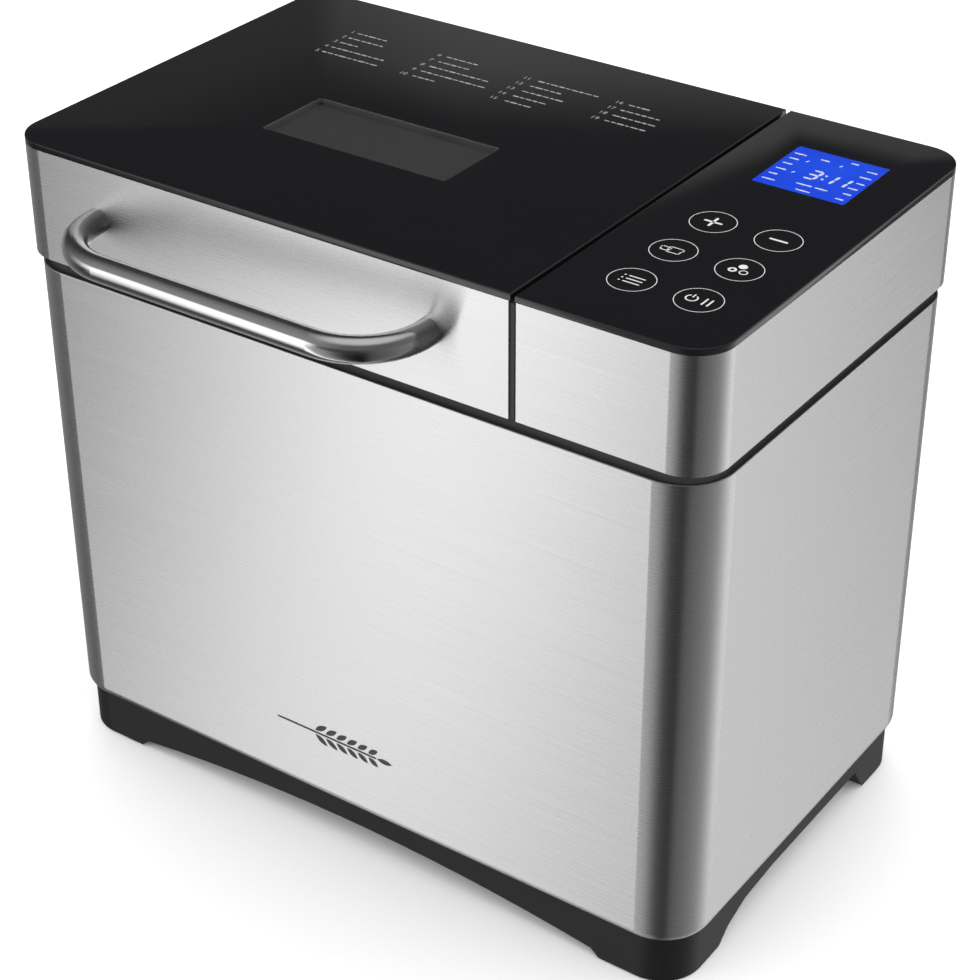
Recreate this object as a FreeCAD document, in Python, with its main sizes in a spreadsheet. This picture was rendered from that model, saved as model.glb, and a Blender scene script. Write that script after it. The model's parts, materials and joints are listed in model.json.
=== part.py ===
import FreeCAD, Part
import math
import os
import re
import Sketcher

# A bread machine: a steel-wrapped body on a black base, a glass-topped lid hinged at the back left,
# a fixed glass control panel on the right, and the pan, heater and belt drive inside.
# Millimetres, +X right, +Y back, +Z up. The origin is on the floor, under the middle of the
# outer box that holds the body and the handle.

DOC = FreeCAD.newDocument("bread_machine")
SHEET = DOC.addObject("Spreadsheet::Sheet", "sizes")
NODES = []

# Driving sizes, each one set by itself.
SIZES = {
    # outer form, and how far a cutter reaches past what it cuts
    "body_width": 360.0,
    "body_depth": 220.4,
    "total_height": 323.3,
    "corner_radius": 18.0,
    "housing_corner": 24.0,
    "sheet_steel": 0.8,
    "housing_bottom": 25.0,
    "lip_depth": 6.5,
    "lip_radius": 5.0,
    "skirt_height": 53.3,
    "deck_gap": 5.5,
    "overcut": 1.0,
    "glass_thickness": 3.1,
    "glass_bevel": 0.5,
    # seam between lid and panel
    "panel_width": 89.5,
    "seam_lid_side": 1.9,
    "seam_panel_side": 1.7,
    "seam_glass_side": 1.1,
    "end_cap": 2.5,
    "end_cap_drop": 1.2,
    # base
    "base_inset": 3.0,
    "base_wall": 3.0,
    "base_clear": 1.0,
    "base_floor": 16.0,
    "base_plate": 2.5,
    "upstand_inset": 7.0,
    "upstand_wall": 2.4,
    "upstand_height": 20.0,
    "foot_width": 38.5,
    "foot_front": 35.0,
    "foot_back": 38.0,
    "foot_ramp": 6.5,
    "foot_step": 4.8,
    "arch_height": 14.0,
    "side_arch_height": 15.4,
    "side_arch_run": 50.0,
    "side_arch_knee": 13.4,
    "side_arch_toe": 2.0,
    "side_arch_lean": 9.0,
    "pad_radius": 10.0,
    "pad_height": 3.0,
    "pad_setback": 18.0,
    "gland_radius": 7.0,
    "gland_flange": 3.0,
    "gland_bore": 3.6,
    "gland_length": 15.0,
    "gland_setback": 45.0,
    "gland_height": 62.0,
    # deck
    "deck_plate": 3.0,
    "band_inset": 2.5,
    "band_wall": 3.0,
    "lid_rest": 0.5,
    "wire_hole_width": 44.0,
    "wire_hole_depth": 90.0,
    "vent_width": 4.0,
    "vent_height": 36.0,
    "vent_pitch": 9.0,
    "vent_count": 11.0,
    "vent_corner": 1.9,
    # hinge
    "hinge_setback": 7.0,
    "hinge_rise": 3.1,
    "ear_side": 52.0,
    "ear_width": 12.0,
    "ear_radius": 4.5,
    "pin_radius": 2.0,
    "pin_clear": 0.05,
    "boss_width": 6.0,
    "boss_clear": 0.5,
    "boss_reach": 5.0,
    "notch_clear": 1.0,
    "notch_rise": 6.0,
    "swing_room": 8.5,
    # lid inside
    "frame_wall": 2.2,
    "frame_web": 2.0,
    "window_width": 100.0,
    "window_depth": 42.0,
    "window_right": 2.75,
    "window_forward": 19.75,
    "window_corner": 4.0,
    "window_clear": 0.5,
    "tunnel_wall": 2.0,
    "pane_margin": 4.0,
    "pane_thickness": 3.0,
    "gasket_height": 1.0,
    "gasket_lip": 2.0,
    "liner_sheet": 0.8,
    "liner_rise": 0.6,
    "liner_drop": 2.5,
    "liner_room": 4.0,
    "liner_setback": 8.0,
    # handle
    "handle_side": 51.0,
    "handle_width": 179.0,
    "handle_drop": 28.3,
    "handle_reach": 34.0,
    "handle_bend": 32.0,
    "handle_tube": 12.0,
    "handle_bore": 9.2,
    "handle_plug": 8.0,
    "handle_plug_bite": 0.3,
    "handle_plug_end": 2.0,
    "handle_block": 16.0,
    "handle_block_depth": 10.0,
    "handle_screw": 2.0,
    "handle_screw_head": 4.0,
    "handle_screw_head_height": 2.4,
    # panel inside
    "display_width": 44.2,
    "display_depth": 43.4,
    "display_right": 44.0,
    "display_back": 34.4,
    "board_depth_below": 8.4,
    "board_thickness": 1.6,
    "key_first_right": 58.3,
    "key_column": 30.5,
    "key_first_front": 37.2,
    "key_row": 31.5,
    "key_spring": 6.5,
    "key_spring_wall": 1.5,
    "carrier_wall": 2.0,
    "carrier_setback": 16.0,
    "carrier_width": 110.0,
    "carrier_height": 108.0,
    "standoff_radius": 3.0,
    "standoff_height": 5.0,
    "standoff_margin": 8.0,
    "power_board_width": 96.0,
    "power_board_height": 84.0,
    "capacitor_radius": 9.0,
    "capacitor_height": 22.0,
    "relay_width": 20.0,
    "relay_height": 16.0,
    "relay_depth": 15.0,
    # baking chamber
    "chamber_side_gap": 24.0,
    "chamber_front_gap": 16.0,
    "chamber_back_gap": 34.0,
    "chamber_wall": 1.0,
    "chamber_floor": 66.0,
    "chamber_corner": 22.0,
    "chamber_flange": 7.0,
    "chamber_fit": 0.3,
    "flange_screw": 1.6,
    "flange_screw_head": 2.9,
    "flange_screw_head_height": 1.0,
    "flange_screw_inset": 8.0,
    # heater
    "heater_radius": 3.25,
    "heater_inset": 11.0,
    "heater_rise": 17.0,
    "heater_bend": 7.5,
    "heater_gap": 24.0,
    "heater_end": 12.0,
    "clip_width": 8.0,
    "clip_margin": 2.5,
    "ceramic_radius": 6.5,
    "ceramic_out": 7.0,
    "ceramic_in": 3.0,
    "ceramic_shoulder": 1.5,
    "probe_radius": 3.0,
    "probe_out": 10.0,
    "probe_in": 8.0,
    "probe_rise": 60.0,
    "probe_collar": 2.0,
    "fuse_width": 26.0,
    "fuse_height": 12.0,
    "fuse_depth": 8.0,
    "fuse_plate": 1.0,
    "fuse_rise": 92.0,
    # bread pan
    "pan_raise": 16.0,
    "pan_headroom": 61.4,
    "pan_side_gap": 27.0,
    "pan_end_gap": 22.0,
    "pan_wall": 1.2,
    "pan_draft": 4.0,
    "pan_corner": 20.0,
    "pan_floor_radius": 8.0,
    "rim_width": 3.0,
    "rim_height": 3.0,
    "foot_ring_radius": 40.0,
    "foot_ring_wall": 3.0,
    "foot_ring_gap": 0.3,
    "socket_fit": 0.4,
    "socket_wall": 4.0,
    "socket_height": 9.0,
    "spring_sheet": 0.8,
    "spring_width": 14.0,
    "spring_height": 11.0,
    "spring_foot": 7.0,
    "spring_fit": 0.4,
    # bail
    "bail_radius": 2.0,
    "bail_reach": 48.0,
    "bail_bend": 14.0,
    "bail_rise": 7.0,
    "bail_pin_grip": 2.0,
    "ear_sheet": 1.2,
    "pan_ear_width": 16.0,
    "pan_ear_drop": 16.0,
    "pan_ear_margin": 2.5,
    "pan_ear_corner": 3.0,
    "bail_side_gap": 1.0,
    "rivet_radius": 2.2,
    "rivet_head": 1.2,
    "rivet_head_lip": 0.8,
    "rivet_spread": 5.0,
    "rivet_drop": 6.2,
    "rivet_slack": 0.6,
    # couplings and paddle
    "shaft_radius": 4.0,
    "running_gap": 0.05,
    "bush_radius": 10.0,
    "bush_below": 6.0,
    "bush_above": 5.0,
    "seal_radius": 7.0,
    "seal_height": 2.0,
    "shaft_above": 27.0,
    "pan_coupling_rise": 4.5,
    "pan_coupling_height": 4.0,
    "pan_coupling_hub": 8.0,
    "pan_coupling_arm": 16.0,
    "pan_coupling_width": 6.0,
    "drive_disc_radius": 17.0,
    "drive_disc_rise": 2.0,
    "drive_disc_height": 2.5,
    "drive_lug_in": 11.5,
    "drive_lug_out": 16.5,
    "drive_lug_width": 5.0,
    "drive_lug_height": 4.5,
    "paddle_gap": 0.6,
    "paddle_hub": 8.5,
    "paddle_height": 26.0,
    "paddle_bore_depth": 22.0,
    "paddle_reach": 44.0,
    "paddle_root": 7.0,
    "paddle_tip": 3.5,
    "paddle_belly": 26.0,
    "paddle_shoulder": 3.0,
    "paddle_end_height": 11.7,
    # drive train
    "drive_hole": 6.0,
    "drive_flange_radius": 27.0,
    "drive_flange": 3.0,
    "drive_boss_radius": 12.0,
    "drive_boss_height": 19.0,
    "drive_seat": 8.0,
    "drive_bush_height": 7.0,
    "pulley_bottom": 28.0,
    "pulley_height": 12.0,
    "pulley_flange": 2.0,
    "pulley_groove": 2.0,
    "pulley_radius": 55.0,
    "pulley_hub": 10.0,
    "pulley_web": 4.0,
    "pulley_rim": 6.0,
    "pulley_hole": 9.0,
    "pulley_hole_circle": 29.0,
    "shaft_end": 3.0,
    "belt_gap": 0.25,
    "belt_thickness": 2.0,
    "belt_edge_gap": 0.5,
    "motor_right": 1.0,
    "motor_back": 10.0,
    "motor_radius": 32.0,
    "motor_height": 62.0,
    "motor_shaft": 3.0,
    "motor_shaft_tip": 2.0,
    "motor_nose": 5.0,
    "motor_nose_gap": 0.5,
    "motor_pulley_radius": 11.0,
    "bracket_bottom": 46.0,
    "bracket_sheet": 2.0,
    "bracket_width": 72.0,
    "bracket_depth": 84.0,
    "bracket_hole": 13.0,
    "post_radius": 5.0,
    "post_margin": 7.0,
    "motor_screw": 2.0,
    "motor_screw_head": 3.6,
    "motor_screw_head_height": 2.4,
    "motor_screw_depth": 10.0,
}

# Places that follow from the sizes.
PLACES = {
    "left": "-body_width / 2",
    "right": "body_width / 2",
    "middle_y": "(handle_reach + handle_tube / 2) / 2",
    "front": "middle_y - body_depth / 2",
    "back": "middle_y + body_depth / 2",
    "skirt_top": "total_height - glass_thickness",
    "skirt_bottom": "skirt_top - skirt_height",
    "housing_top": "skirt_bottom - deck_gap",
    "split": "right - panel_width",
    "lid_end": "split - seam_lid_side",
    "cap_end": "lid_end + end_cap",
    "panel_start": "split + seam_panel_side",
    "chamber_left": "left + chamber_side_gap",
    "chamber_right": "split - chamber_side_gap",
    "chamber_front": "front + chamber_front_gap",
    "chamber_back": "back - chamber_back_gap",
    "floor_top": "chamber_floor + chamber_wall",
    "pan_x": "(chamber_left + chamber_right) / 2",
    "pan_y": "(chamber_front + chamber_back) / 2",
    "hinge_y": "back - hinge_setback",
    "hinge_z": "skirt_bottom + hinge_rise",
    "left_ear": "left + ear_side",
    "right_ear": "split - ear_side",
    "window_x": "pan_x + window_right",
    "window_y": "middle_y - window_forward",
    "liner_bottom": "skirt_bottom + liner_rise",
    "liner_top": "liner_bottom + liner_sheet",
    "dish_bottom": "skirt_bottom - liner_drop",
    "gasket_bottom": "dish_bottom + liner_sheet",
    "pane_bottom": "gasket_bottom + gasket_height",
    "pane_top": "pane_bottom + pane_thickness",
    "handle_left": "left + handle_side",
    "handle_right": "handle_left + handle_width",
    "handle_z": "total_height - handle_drop",
    "handle_front": "front - handle_reach",
    "plate_top": "base_floor + base_plate",
    "pan_bottom": "chamber_floor + pan_raise",
    "pan_top": "housing_top - pan_headroom",
    "pan_left": "chamber_left + pan_side_gap",
    "pan_right": "chamber_right - pan_side_gap",
    "pan_front": "chamber_front + pan_end_gap",
    "pan_back": "chamber_back - pan_end_gap",
    "bail_z": "pan_top + bail_rise",
    "ear_out": "rim_width + ear_sheet",
    "bail_left": "pan_left - ear_out - bail_side_gap - bail_radius",
    "bail_right": "pan_right + ear_out + bail_side_gap + bail_radius",
    "heater_z": "floor_top + heater_rise",
    "heater_left": "chamber_left + heater_inset",
    "heater_right": "chamber_right - heater_inset",
    "heater_front": "chamber_front + heater_inset",
    "heater_back": "chamber_back - heater_inset",
    "drive_disc_bottom": "floor_top + drive_disc_rise",
    "drive_disc_top": "drive_disc_bottom + drive_disc_height",
    "coupling_bottom": "pan_bottom - bush_below - pan_coupling_rise",
    "motor_x": "(panel_start + right) / 2 + motor_right",
    "motor_y": "pan_y + motor_back",
    "pulley_top": "pulley_bottom + pulley_height",
    "bracket_top": "bracket_bottom + bracket_sheet",
    "board_top": "skirt_top - board_depth_below",
    "board_bottom": "board_top - board_thickness",
    "display_x": "right - display_right",
    "display_y": "middle_y + display_back + display_depth / 2",
    "carrier_x": "right - carrier_setback",
    "carrier_bottom": "housing_top - deck_plate - carrier_height",
    "board_x": "carrier_x - standoff_height - board_thickness",
    "board_z": "carrier_bottom + carrier_height / 2",
    "gland_x": "right - gland_setback",
}


def fill_sheet():
    """Put each size in its own cell, with its name as the cell's alias."""
    for row, (name, number) in enumerate(SIZES.items(), start=1):
        SHEET.set(f"A{row}", name)
        SHEET.set(f"B{row}", str(number))
        SHEET.setAlias(f"B{row}", name)
    DOC.recompute()


def bound(text):
    """Expression for a text of sizes and places, with every size written as its cell's alias."""
    def swap(match):
        word = match.group(0)
        if word in PLACES:
            return "(" + bound(PLACES[word]) + ")"
        return "sizes." + word if word in SIZES else word
    return re.sub(r"[a-z][a-z0-9_]*", swap, text)


def number(text):
    """Value of a text of sizes and places."""
    return float(SHEET.evalExpression(bound(text)))


# ---- outlines: each is drawn into a sketch and tied to the sheet ----

def rectangle(x_low, x_high, y_low, y_high):
    return polygon([(x_low, y_low), (x_high, y_low), (x_high, y_high), (x_low, y_high)])


def polygon(points):
    """Closed outline of straight lines through the points."""
    def draw(sketch):
        start = sketch.GeometryCount
        spots = [FreeCAD.Vector(number(x), number(y), 0) for x, y in points]
        for index, spot in enumerate(spots):
            sketch.addGeometry(Part.LineSegment(spot, spots[(index + 1) % len(spots)]), False)
        for index, point in enumerate(points):
            following = start + (index + 1) % len(points)
            sketch.addConstraint(Sketcher.Constraint("Coincident", start + index, 2, following, 1))
            pin_point(sketch, start + index, 1, point)
    return draw


def circle(x, y, radius):
    def draw(sketch):
        start = sketch.GeometryCount
        centre = FreeCAD.Vector(number(x), number(y), 0)
        sketch.addGeometry(Part.Circle(centre, FreeCAD.Vector(0, 0, 1), number(radius)), False)
        pin_point(sketch, start, 3, (x, y))
        tie(sketch, Sketcher.Constraint("Radius", start, number(radius)), radius)
    return draw


def rounded(x_low, x_high, y_low, y_high, radius):
    """Rectangle with round corners."""
    def draw(sketch):
        start = sketch.GeometryCount
        x0, x1, y0, y1, r = (number(text) for text in (x_low, x_high, y_low, y_high, radius))
        vector = FreeCAD.Vector
        lines = [(vector(x0 + r, y0, 0), vector(x1 - r, y0, 0)),
                 (vector(x1, y0 + r, 0), vector(x1, y1 - r, 0)),
                 (vector(x1 - r, y1, 0), vector(x0 + r, y1, 0)),
                 (vector(x0, y1 - r, 0), vector(x0, y0 + r, 0))]
        centres = [(x1 - r, y0 + r, 270), (x1 - r, y1 - r, 0), (x0 + r, y1 - r, 90), (x0 + r, y0 + r, 180)]
        for begin, end in lines:
            sketch.addGeometry(Part.LineSegment(begin, end), False)
        for x, y, angle in centres:
            whole = Part.Circle(vector(x, y, 0), vector(0, 0, 1), r)
            arc = Part.ArcOfCircle(whole, math.radians(angle), math.radians(angle + 90))
            sketch.addGeometry(arc, False)
        for side in range(4):
            line, corner = start + side, start + 4 + side
            sketch.addConstraint(Sketcher.Constraint("Tangent", line, 2, corner, 1))
            sketch.addConstraint(Sketcher.Constraint("Tangent", corner, 2, start + (side + 1) % 4, 1))
            sketch.addConstraint(Sketcher.Constraint("Vertical" if side % 2 else "Horizontal", line))
            if side:
                sketch.addConstraint(Sketcher.Constraint("Equal", start + 4, corner))
        tie(sketch, Sketcher.Constraint("Radius", start + 4, r), radius)
        for side, place in enumerate((y_low, x_high, y_high, x_low)):
            kind = "DistanceX" if side % 2 else "DistanceY"
            tie(sketch, Sketcher.Constraint(kind, -1, 1, start + side, 1, number(place)), place)
    return draw


def route(points, radius):
    """Open path of straight runs along the two axes, joined by round bends of one radius."""
    def draw(sketch):
        start = sketch.GeometryCount
        spots = [FreeCAD.Vector(number(x), number(y), 0) for x, y in points]
        r = number(radius)
        steps = [(after - before).normalize() for before, after in zip(spots, spots[1:])]
        runs = len(steps)
        for index, step in enumerate(steps):
            begin = spots[index] + step * (r if index else 0)
            end = spots[index + 1] - step * (r if index < runs - 1 else 0)
            sketch.addGeometry(Part.LineSegment(begin, end), False)
            flat = abs(step.y) < abs(step.x)
            sketch.addConstraint(Sketcher.Constraint("Horizontal" if flat else "Vertical", start + index))
        for index in range(runs - 1):
            corner, before, after = spots[index + 1], steps[index], steps[index + 1]
            middle = corner + (after - before) * r - (after - before).normalize() * r
            arc = Part.Arc(corner - before * r, middle, corner + after * r)
            sketch.addGeometry(arc, False)
            bend = start + runs + index
            turns_left = before.cross(after).z > 0
            first, last = (1, 2) if turns_left else (2, 1)
            sketch.addConstraint(Sketcher.Constraint("Tangent", start + index, 2, bend, first))
            sketch.addConstraint(Sketcher.Constraint("Tangent", bend, last, start + index + 1, 1))
            tie(sketch, Sketcher.Constraint("Radius", bend, r), radius)
        for index, step in enumerate(steps):
            flat = abs(step.y) < abs(step.x)
            place = points[index][1] if flat else points[index][0]
            kind = "DistanceY" if flat else "DistanceX"
            tie(sketch, Sketcher.Constraint(kind, -1, 1, start + index, 1, number(place)), place)
        for line, end, point, step in ((start, 1, points[0], steps[0]),
                                       (start + runs - 1, 2, points[-1], steps[-1])):
            flat = abs(step.y) < abs(step.x)
            place = point[0] if flat else point[1]
            kind = "DistanceX" if flat else "DistanceY"
            tie(sketch, Sketcher.Constraint(kind, -1, 1, line, end, number(place)), place)
    return draw


def arch(x_low, x_high, foot_ramp, foot_step, top, ground):
    """Opening under a wall: a ramp up at each foot and one shallow arc between the ramps."""
    def draw(sketch):
        start = sketch.GeometryCount
        inner_low, inner_high = f"{x_low} + {foot_ramp}", f"{x_high} - {foot_ramp}"
        points = [(x_low, ground), (x_high, ground), (inner_high, foot_step), (inner_low, foot_step)]
        spots = [FreeCAD.Vector(number(x), number(y), 0) for x, y in points]
        crown = FreeCAD.Vector((spots[2].x + spots[3].x) / 2, number(top), 0)
        sketch.addGeometry(Part.LineSegment(spots[3], spots[0]), False)
        sketch.addGeometry(Part.LineSegment(spots[0], spots[1]), False)
        sketch.addGeometry(Part.LineSegment(spots[1], spots[2]), False)
        sketch.addGeometry(Part.Arc(spots[2], crown, spots[3]), False)
        for line, point in ((start, points[3]), (start + 1, points[0]), (start + 2, points[1])):
            pin_point(sketch, line, 1, point)
        pin_point(sketch, start + 2, 2, points[2])
        sketch.addConstraint(Sketcher.Constraint("Coincident", start, 2, start + 1, 1))
        sketch.addConstraint(Sketcher.Constraint("Coincident", start + 1, 2, start + 2, 1))
        sketch.addConstraint(Sketcher.Constraint("Coincident", start + 2, 2, start + 3, 1))
        sketch.addConstraint(Sketcher.Constraint("Coincident", start + 3, 2, start, 1))
        half, rise = f"({inner_high} - ({inner_low})) / 2", f"({top} - ({foot_step}))"
        radius = f"(({half}) ^ 2 + {rise} ^ 2) / (2 * {rise})"
        tie(sketch, Sketcher.Constraint("Radius", start + 3, number(radius)), radius)
    return draw


def tie(sketch, constraint, text):
    """Add a constraint whose value follows the sheet."""
    index = sketch.addConstraint(constraint)
    sketch.setExpression(f"Constraints[{index}]", bound(text))


def pin_point(sketch, line, end, point):
    """Hold a point of the sketch at its place."""
    for kind, place in zip(("DistanceX", "DistanceY"), point):
        tie(sketch, Sketcher.Constraint(kind, -1, 1, line, end, number(place)), place)


class Piece:
    """One body built up from outlines that are padded or cut between two levels."""

    def __init__(self, name, kept=True):
        self.body = DOC.addObject("PartDesign::Body", name)
        self.body.Label = name
        self.body.AllowCompound = True
        self.count = 0
        if kept:
            NODES.append(self.body)

    def named(self, word):
        self.count += 1
        return f"{self.body.Name}_{word}_{self.count}"

    def sketch(self, outlines, plane, level):
        """Sketch on one of the body's own planes, moved to a level along the plane's normal."""
        drawn = self.body.newObject("Sketcher::SketchObject", self.named("sketch"))
        role = plane + "_Plane"
        base = [item for item in self.body.Origin.OriginFeatures if item.Role == role][0]
        drawn.AttachmentSupport = [(base, "")]
        drawn.MapMode = "FlatFace"
        for outline in outlines:
            outline(drawn)
        sign = "-" if plane == "XZ" else ""
        drawn.setExpression("AttachmentOffset.Base.z", f"{sign}({bound(level)})")
        return drawn

    def add(self, outlines, low, high, plane="XY"):
        """Solid between two levels."""
        drawn = self.sketch(outlines, plane, high if plane == "XZ" else low)
        self.extrude("PartDesign::Pad", drawn, low, high, grows=True)

    def cut(self, outlines, low, high, plane="XY"):
        """Hollow between two levels."""
        drawn = self.sketch(outlines, plane, low if plane == "XZ" else high)
        self.extrude("PartDesign::Pocket", drawn, low, high, grows=False)

    def extrude(self, kind, drawn, low, high, grows):
        before = self.volume()
        feature = self.body.newObject(kind, self.named("feature"))
        feature.Profile = drawn
        feature.setExpression("Length", bound(f"({high}) - ({low})"))
        DOC.recompute()
        change = self.volume() - before
        if change == 0 or (change > 0) != grows:
            raise RuntimeError(f"{feature.Name} changes nothing or the wrong way")

    def flare(self, outline, low, high, spread):
        """Solid whose walls lean outwards evenly, by a spread over its height."""
        feature = self.body.newObject("PartDesign::Pad", self.named("flare"))
        feature.Profile = self.sketch([outline], "XY", low)
        feature.setExpression("Length", bound(f"({high}) - ({low})"))
        feature.setExpression("TaperAngle", bound(f"atan(({spread}) / (({high}) - ({low})))"))
        DOC.recompute()

    def pipe(self, outlines, plane, start, path, level):
        """Rod or tube along a path that lies in a level plane."""
        feature = self.body.newObject("PartDesign::AdditivePipe", self.named("pipe"))
        feature.Profile = self.sketch(outlines, plane, start)
        feature.Spine = self.sketch([path], "XY", level)
        DOC.recompute()

    def soften(self, radius, wanted, kind="PartDesign::Fillet"):
        """Round or bevel the edges that a test picks."""
        base = self.body.Tip
        edges = [f"Edge{index}" for index, edge in enumerate(base.Shape.Edges, start=1) if wanted(edge)]
        feature = self.body.newObject(kind, self.named("edges"))
        feature.Base = (base, edges)
        feature.setExpression("Radius" if kind.endswith("Fillet") else "Size", bound(radius))
        DOC.recompute()

    def volume(self):
        return 0 if self.body.Shape.isNull() else self.body.Shape.Volume


def at_height(text):
    """Test for edges that lie wholly at a height."""
    height = number(text)

    def wanted(edge):
        return abs(edge.BoundBox.ZMin - height) < 1e-4 and abs(edge.BoundBox.ZMax - height) < 1e-4
    return wanted


def combine(kind, name, base, tool, kept=True):
    """One body cut by another, or the part that two bodies share."""
    result = DOC.addObject("Part::" + kind, name)
    result.Label = name
    result.Base = base
    result.Tool = tool
    if kept:
        NODES.append(result)
    DOC.recompute()
    return result


def body_outline(inset, corner="corner_radius"):
    """Plan outline of the body, moved inwards."""
    return rounded(f"left + {inset}", f"right - ({inset})", f"front + {inset}", f"back - ({inset})",
                   f"{corner} - ({inset})")


def housing_outline(inset):
    """The same below the lid, where the corners are rounder."""
    return body_outline(inset, "housing_corner")


def chamber_outline(inset):
    """Plan outline of the baking chamber, moved inwards."""
    return rounded(f"chamber_left + {inset}", f"chamber_right - ({inset})", f"chamber_front + {inset}",
                   f"chamber_back - ({inset})", f"chamber_corner - ({inset})")


def pan_outline(inset):
    """Plan outline of the bread pan at its rim, moved inwards."""
    return rounded(f"pan_left + {inset}", f"pan_right - ({inset})", f"pan_front + {inset}",
                   f"pan_back - ({inset})", f"pan_corner - ({inset})")


def window_outline(margin):
    """Plan outline of the lid's window, moved outwards."""
    return rounded(f"window_x - window_width / 2 - ({margin})", f"window_x + window_width / 2 + {margin}",
                   f"window_y - window_depth / 2 - ({margin})", f"window_y + window_depth / 2 + {margin}",
                   f"window_corner + {margin}")


def beside_lid():
    """Plan outline of everything on the lid's side of the panel."""
    return rectangle("left - overcut", "panel_start", "front - overcut", "back + overcut")


def beyond_lid():
    """Plan outline of everything on the panel's side of the lid's end."""
    return rectangle("lid_end", "right + overcut", "front - overcut", "back + overcut")


# ---- lower body ----

def steel_wrap():
    """Steel wrap round the front, sides and back corners, and the flat back panel between the corners.
    Both turn in under their lower edge with a round lip, and the back panel has the vents."""
    outer = Piece("housing_form", kept=False)
    outer.add([housing_outline("0")], "housing_bottom", "housing_top")
    outer.soften("lip_radius", at_height("housing_bottom"))
    inner = Piece("housing_hollow", kept=False)
    inner.add([housing_outline("sheet_steel")], "housing_bottom + sheet_steel", "housing_top + overcut")
    inner.soften("lip_radius - sheet_steel", at_height("housing_bottom + sheet_steel"))
    inner.add([housing_outline("lip_depth")], "housing_bottom - overcut", "housing_bottom + lip_radius")
    for index in range(int(SIZES["vent_count"])):
        middle = f"pan_x + ({index} - (vent_count - 1) / 2) * vent_pitch"
        slot = rounded(f"{middle} - vent_width / 2", f"{middle} + vent_width / 2",
                       "housing_top - 2 * vent_height", "housing_top - vent_height", "vent_corner")
        inner.add([slot], "back - 3 * sheet_steel", "back + overcut", "XZ")
    inner.add([circle("gland_x", "gland_height", "gland_radius")], "back - 3 * sheet_steel",
              "back + overcut", "XZ")
    zone = Piece("back_zone", kept=False)
    zone.add([rectangle("left + housing_corner", "right - housing_corner", "back - lip_depth - overcut",
                        "back + overcut")], "housing_bottom - overcut", "housing_top + overcut")
    shell = combine("Cut", "housing_shell", outer.body, inner.body, kept=False)
    combine("Cut", "lower_housing", shell, zone.body)
    combine("Common", "back_panel", shell, zone.body)


def base():
    """Black tray with an arched skirt, a foot block at each corner, posts and an upstand inside the wrap."""
    piece = Piece("base")
    piece.add([housing_outline("base_inset")], "base_clear", "housing_bottom")
    wall = "base_inset + base_wall"
    between_x = ("left + base_inset + foot_width", "right - base_inset - foot_width")
    between_y = ("front + base_inset + foot_front", "back - base_inset - foot_back")
    piece.cut([rectangle(*between_x, f"front + {wall}", f"back - ({wall})")], "base_clear", "base_floor")
    piece.cut([rectangle(f"left + {wall}", f"right - ({wall})", *between_y)], "base_clear", "base_floor")
    piece.cut([housing_outline("upstand_inset + upstand_wall")], "plate_top", "housing_bottom")
    piece.add([housing_outline("upstand_inset"), housing_outline("upstand_inset + upstand_wall")],
              "housing_bottom", "housing_bottom + upstand_height")
    piece.cut([arch(*between_x, "foot_ramp", "foot_step", "arch_height", "-overcut")],
              "front - overcut", "back + overcut", "XZ")
    side = [("front + base_inset + foot_front", "-overcut"),
            ("back - base_inset - foot_back + side_arch_toe", "-overcut"),
            ("back - base_inset - foot_back - side_arch_lean", "side_arch_height"),
            ("front + base_inset + foot_front + side_arch_run", "side_arch_height"),
            ("front + base_inset + foot_front + side_arch_run / 2", "side_arch_knee"),
            ("front + base_inset + foot_front + side_arch_run / 5", "side_arch_height / 2")]
    piece.cut([polygon(side)], "left - overcut", "right + overcut", "YZ")
    piece.cut([circle(x, y, "pad_radius") for x, y in pad_places()], "base_clear", "pad_height")
    for x, y in post_places():
        piece.add([circle(x, y, "post_radius")], "plate_top", "bracket_bottom")
    piece.cut([circle(x, y, "motor_screw") for x, y in post_places()],
              "bracket_bottom - motor_screw_depth", "bracket_bottom")


def pad_places():
    """Centres of the four rubber feet."""
    across = "(base_inset + pad_setback)"
    return [(x, y) for x in (f"left + {across}", f"right - {across}")
            for y in (f"front + {across}", f"back - {across}")]


def post_places():
    """Centres of the four posts that carry the motor bracket."""
    across, along = "(bracket_width / 2 - post_margin)", "(bracket_depth / 2 - post_margin)"
    return [(f"motor_x {x} {across}", f"motor_y {y} {along}") for x in "-+" for y in "-+"]


def rubber_feet():
    Piece("rubber_feet").add([circle(x, y, "pad_radius") for x, y in pad_places()], "0", "pad_height")


def cord_gland():
    """Flanged bush, flush with the back of the wrap, that the power cord passes through."""
    piece = Piece("cord_gland")
    inner = "back - sheet_steel"
    piece.add([circle("gland_x", "gland_height", "gland_radius")], "back - gland_length", "back", "XZ")
    piece.add([circle("gland_x", "gland_height", "gland_radius + gland_flange")], f"{inner} - gland_flange",
              inner, "XZ")
    piece.cut([circle("gland_x", "gland_height", "gland_bore")], "back - gland_length", "back", "XZ")


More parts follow.
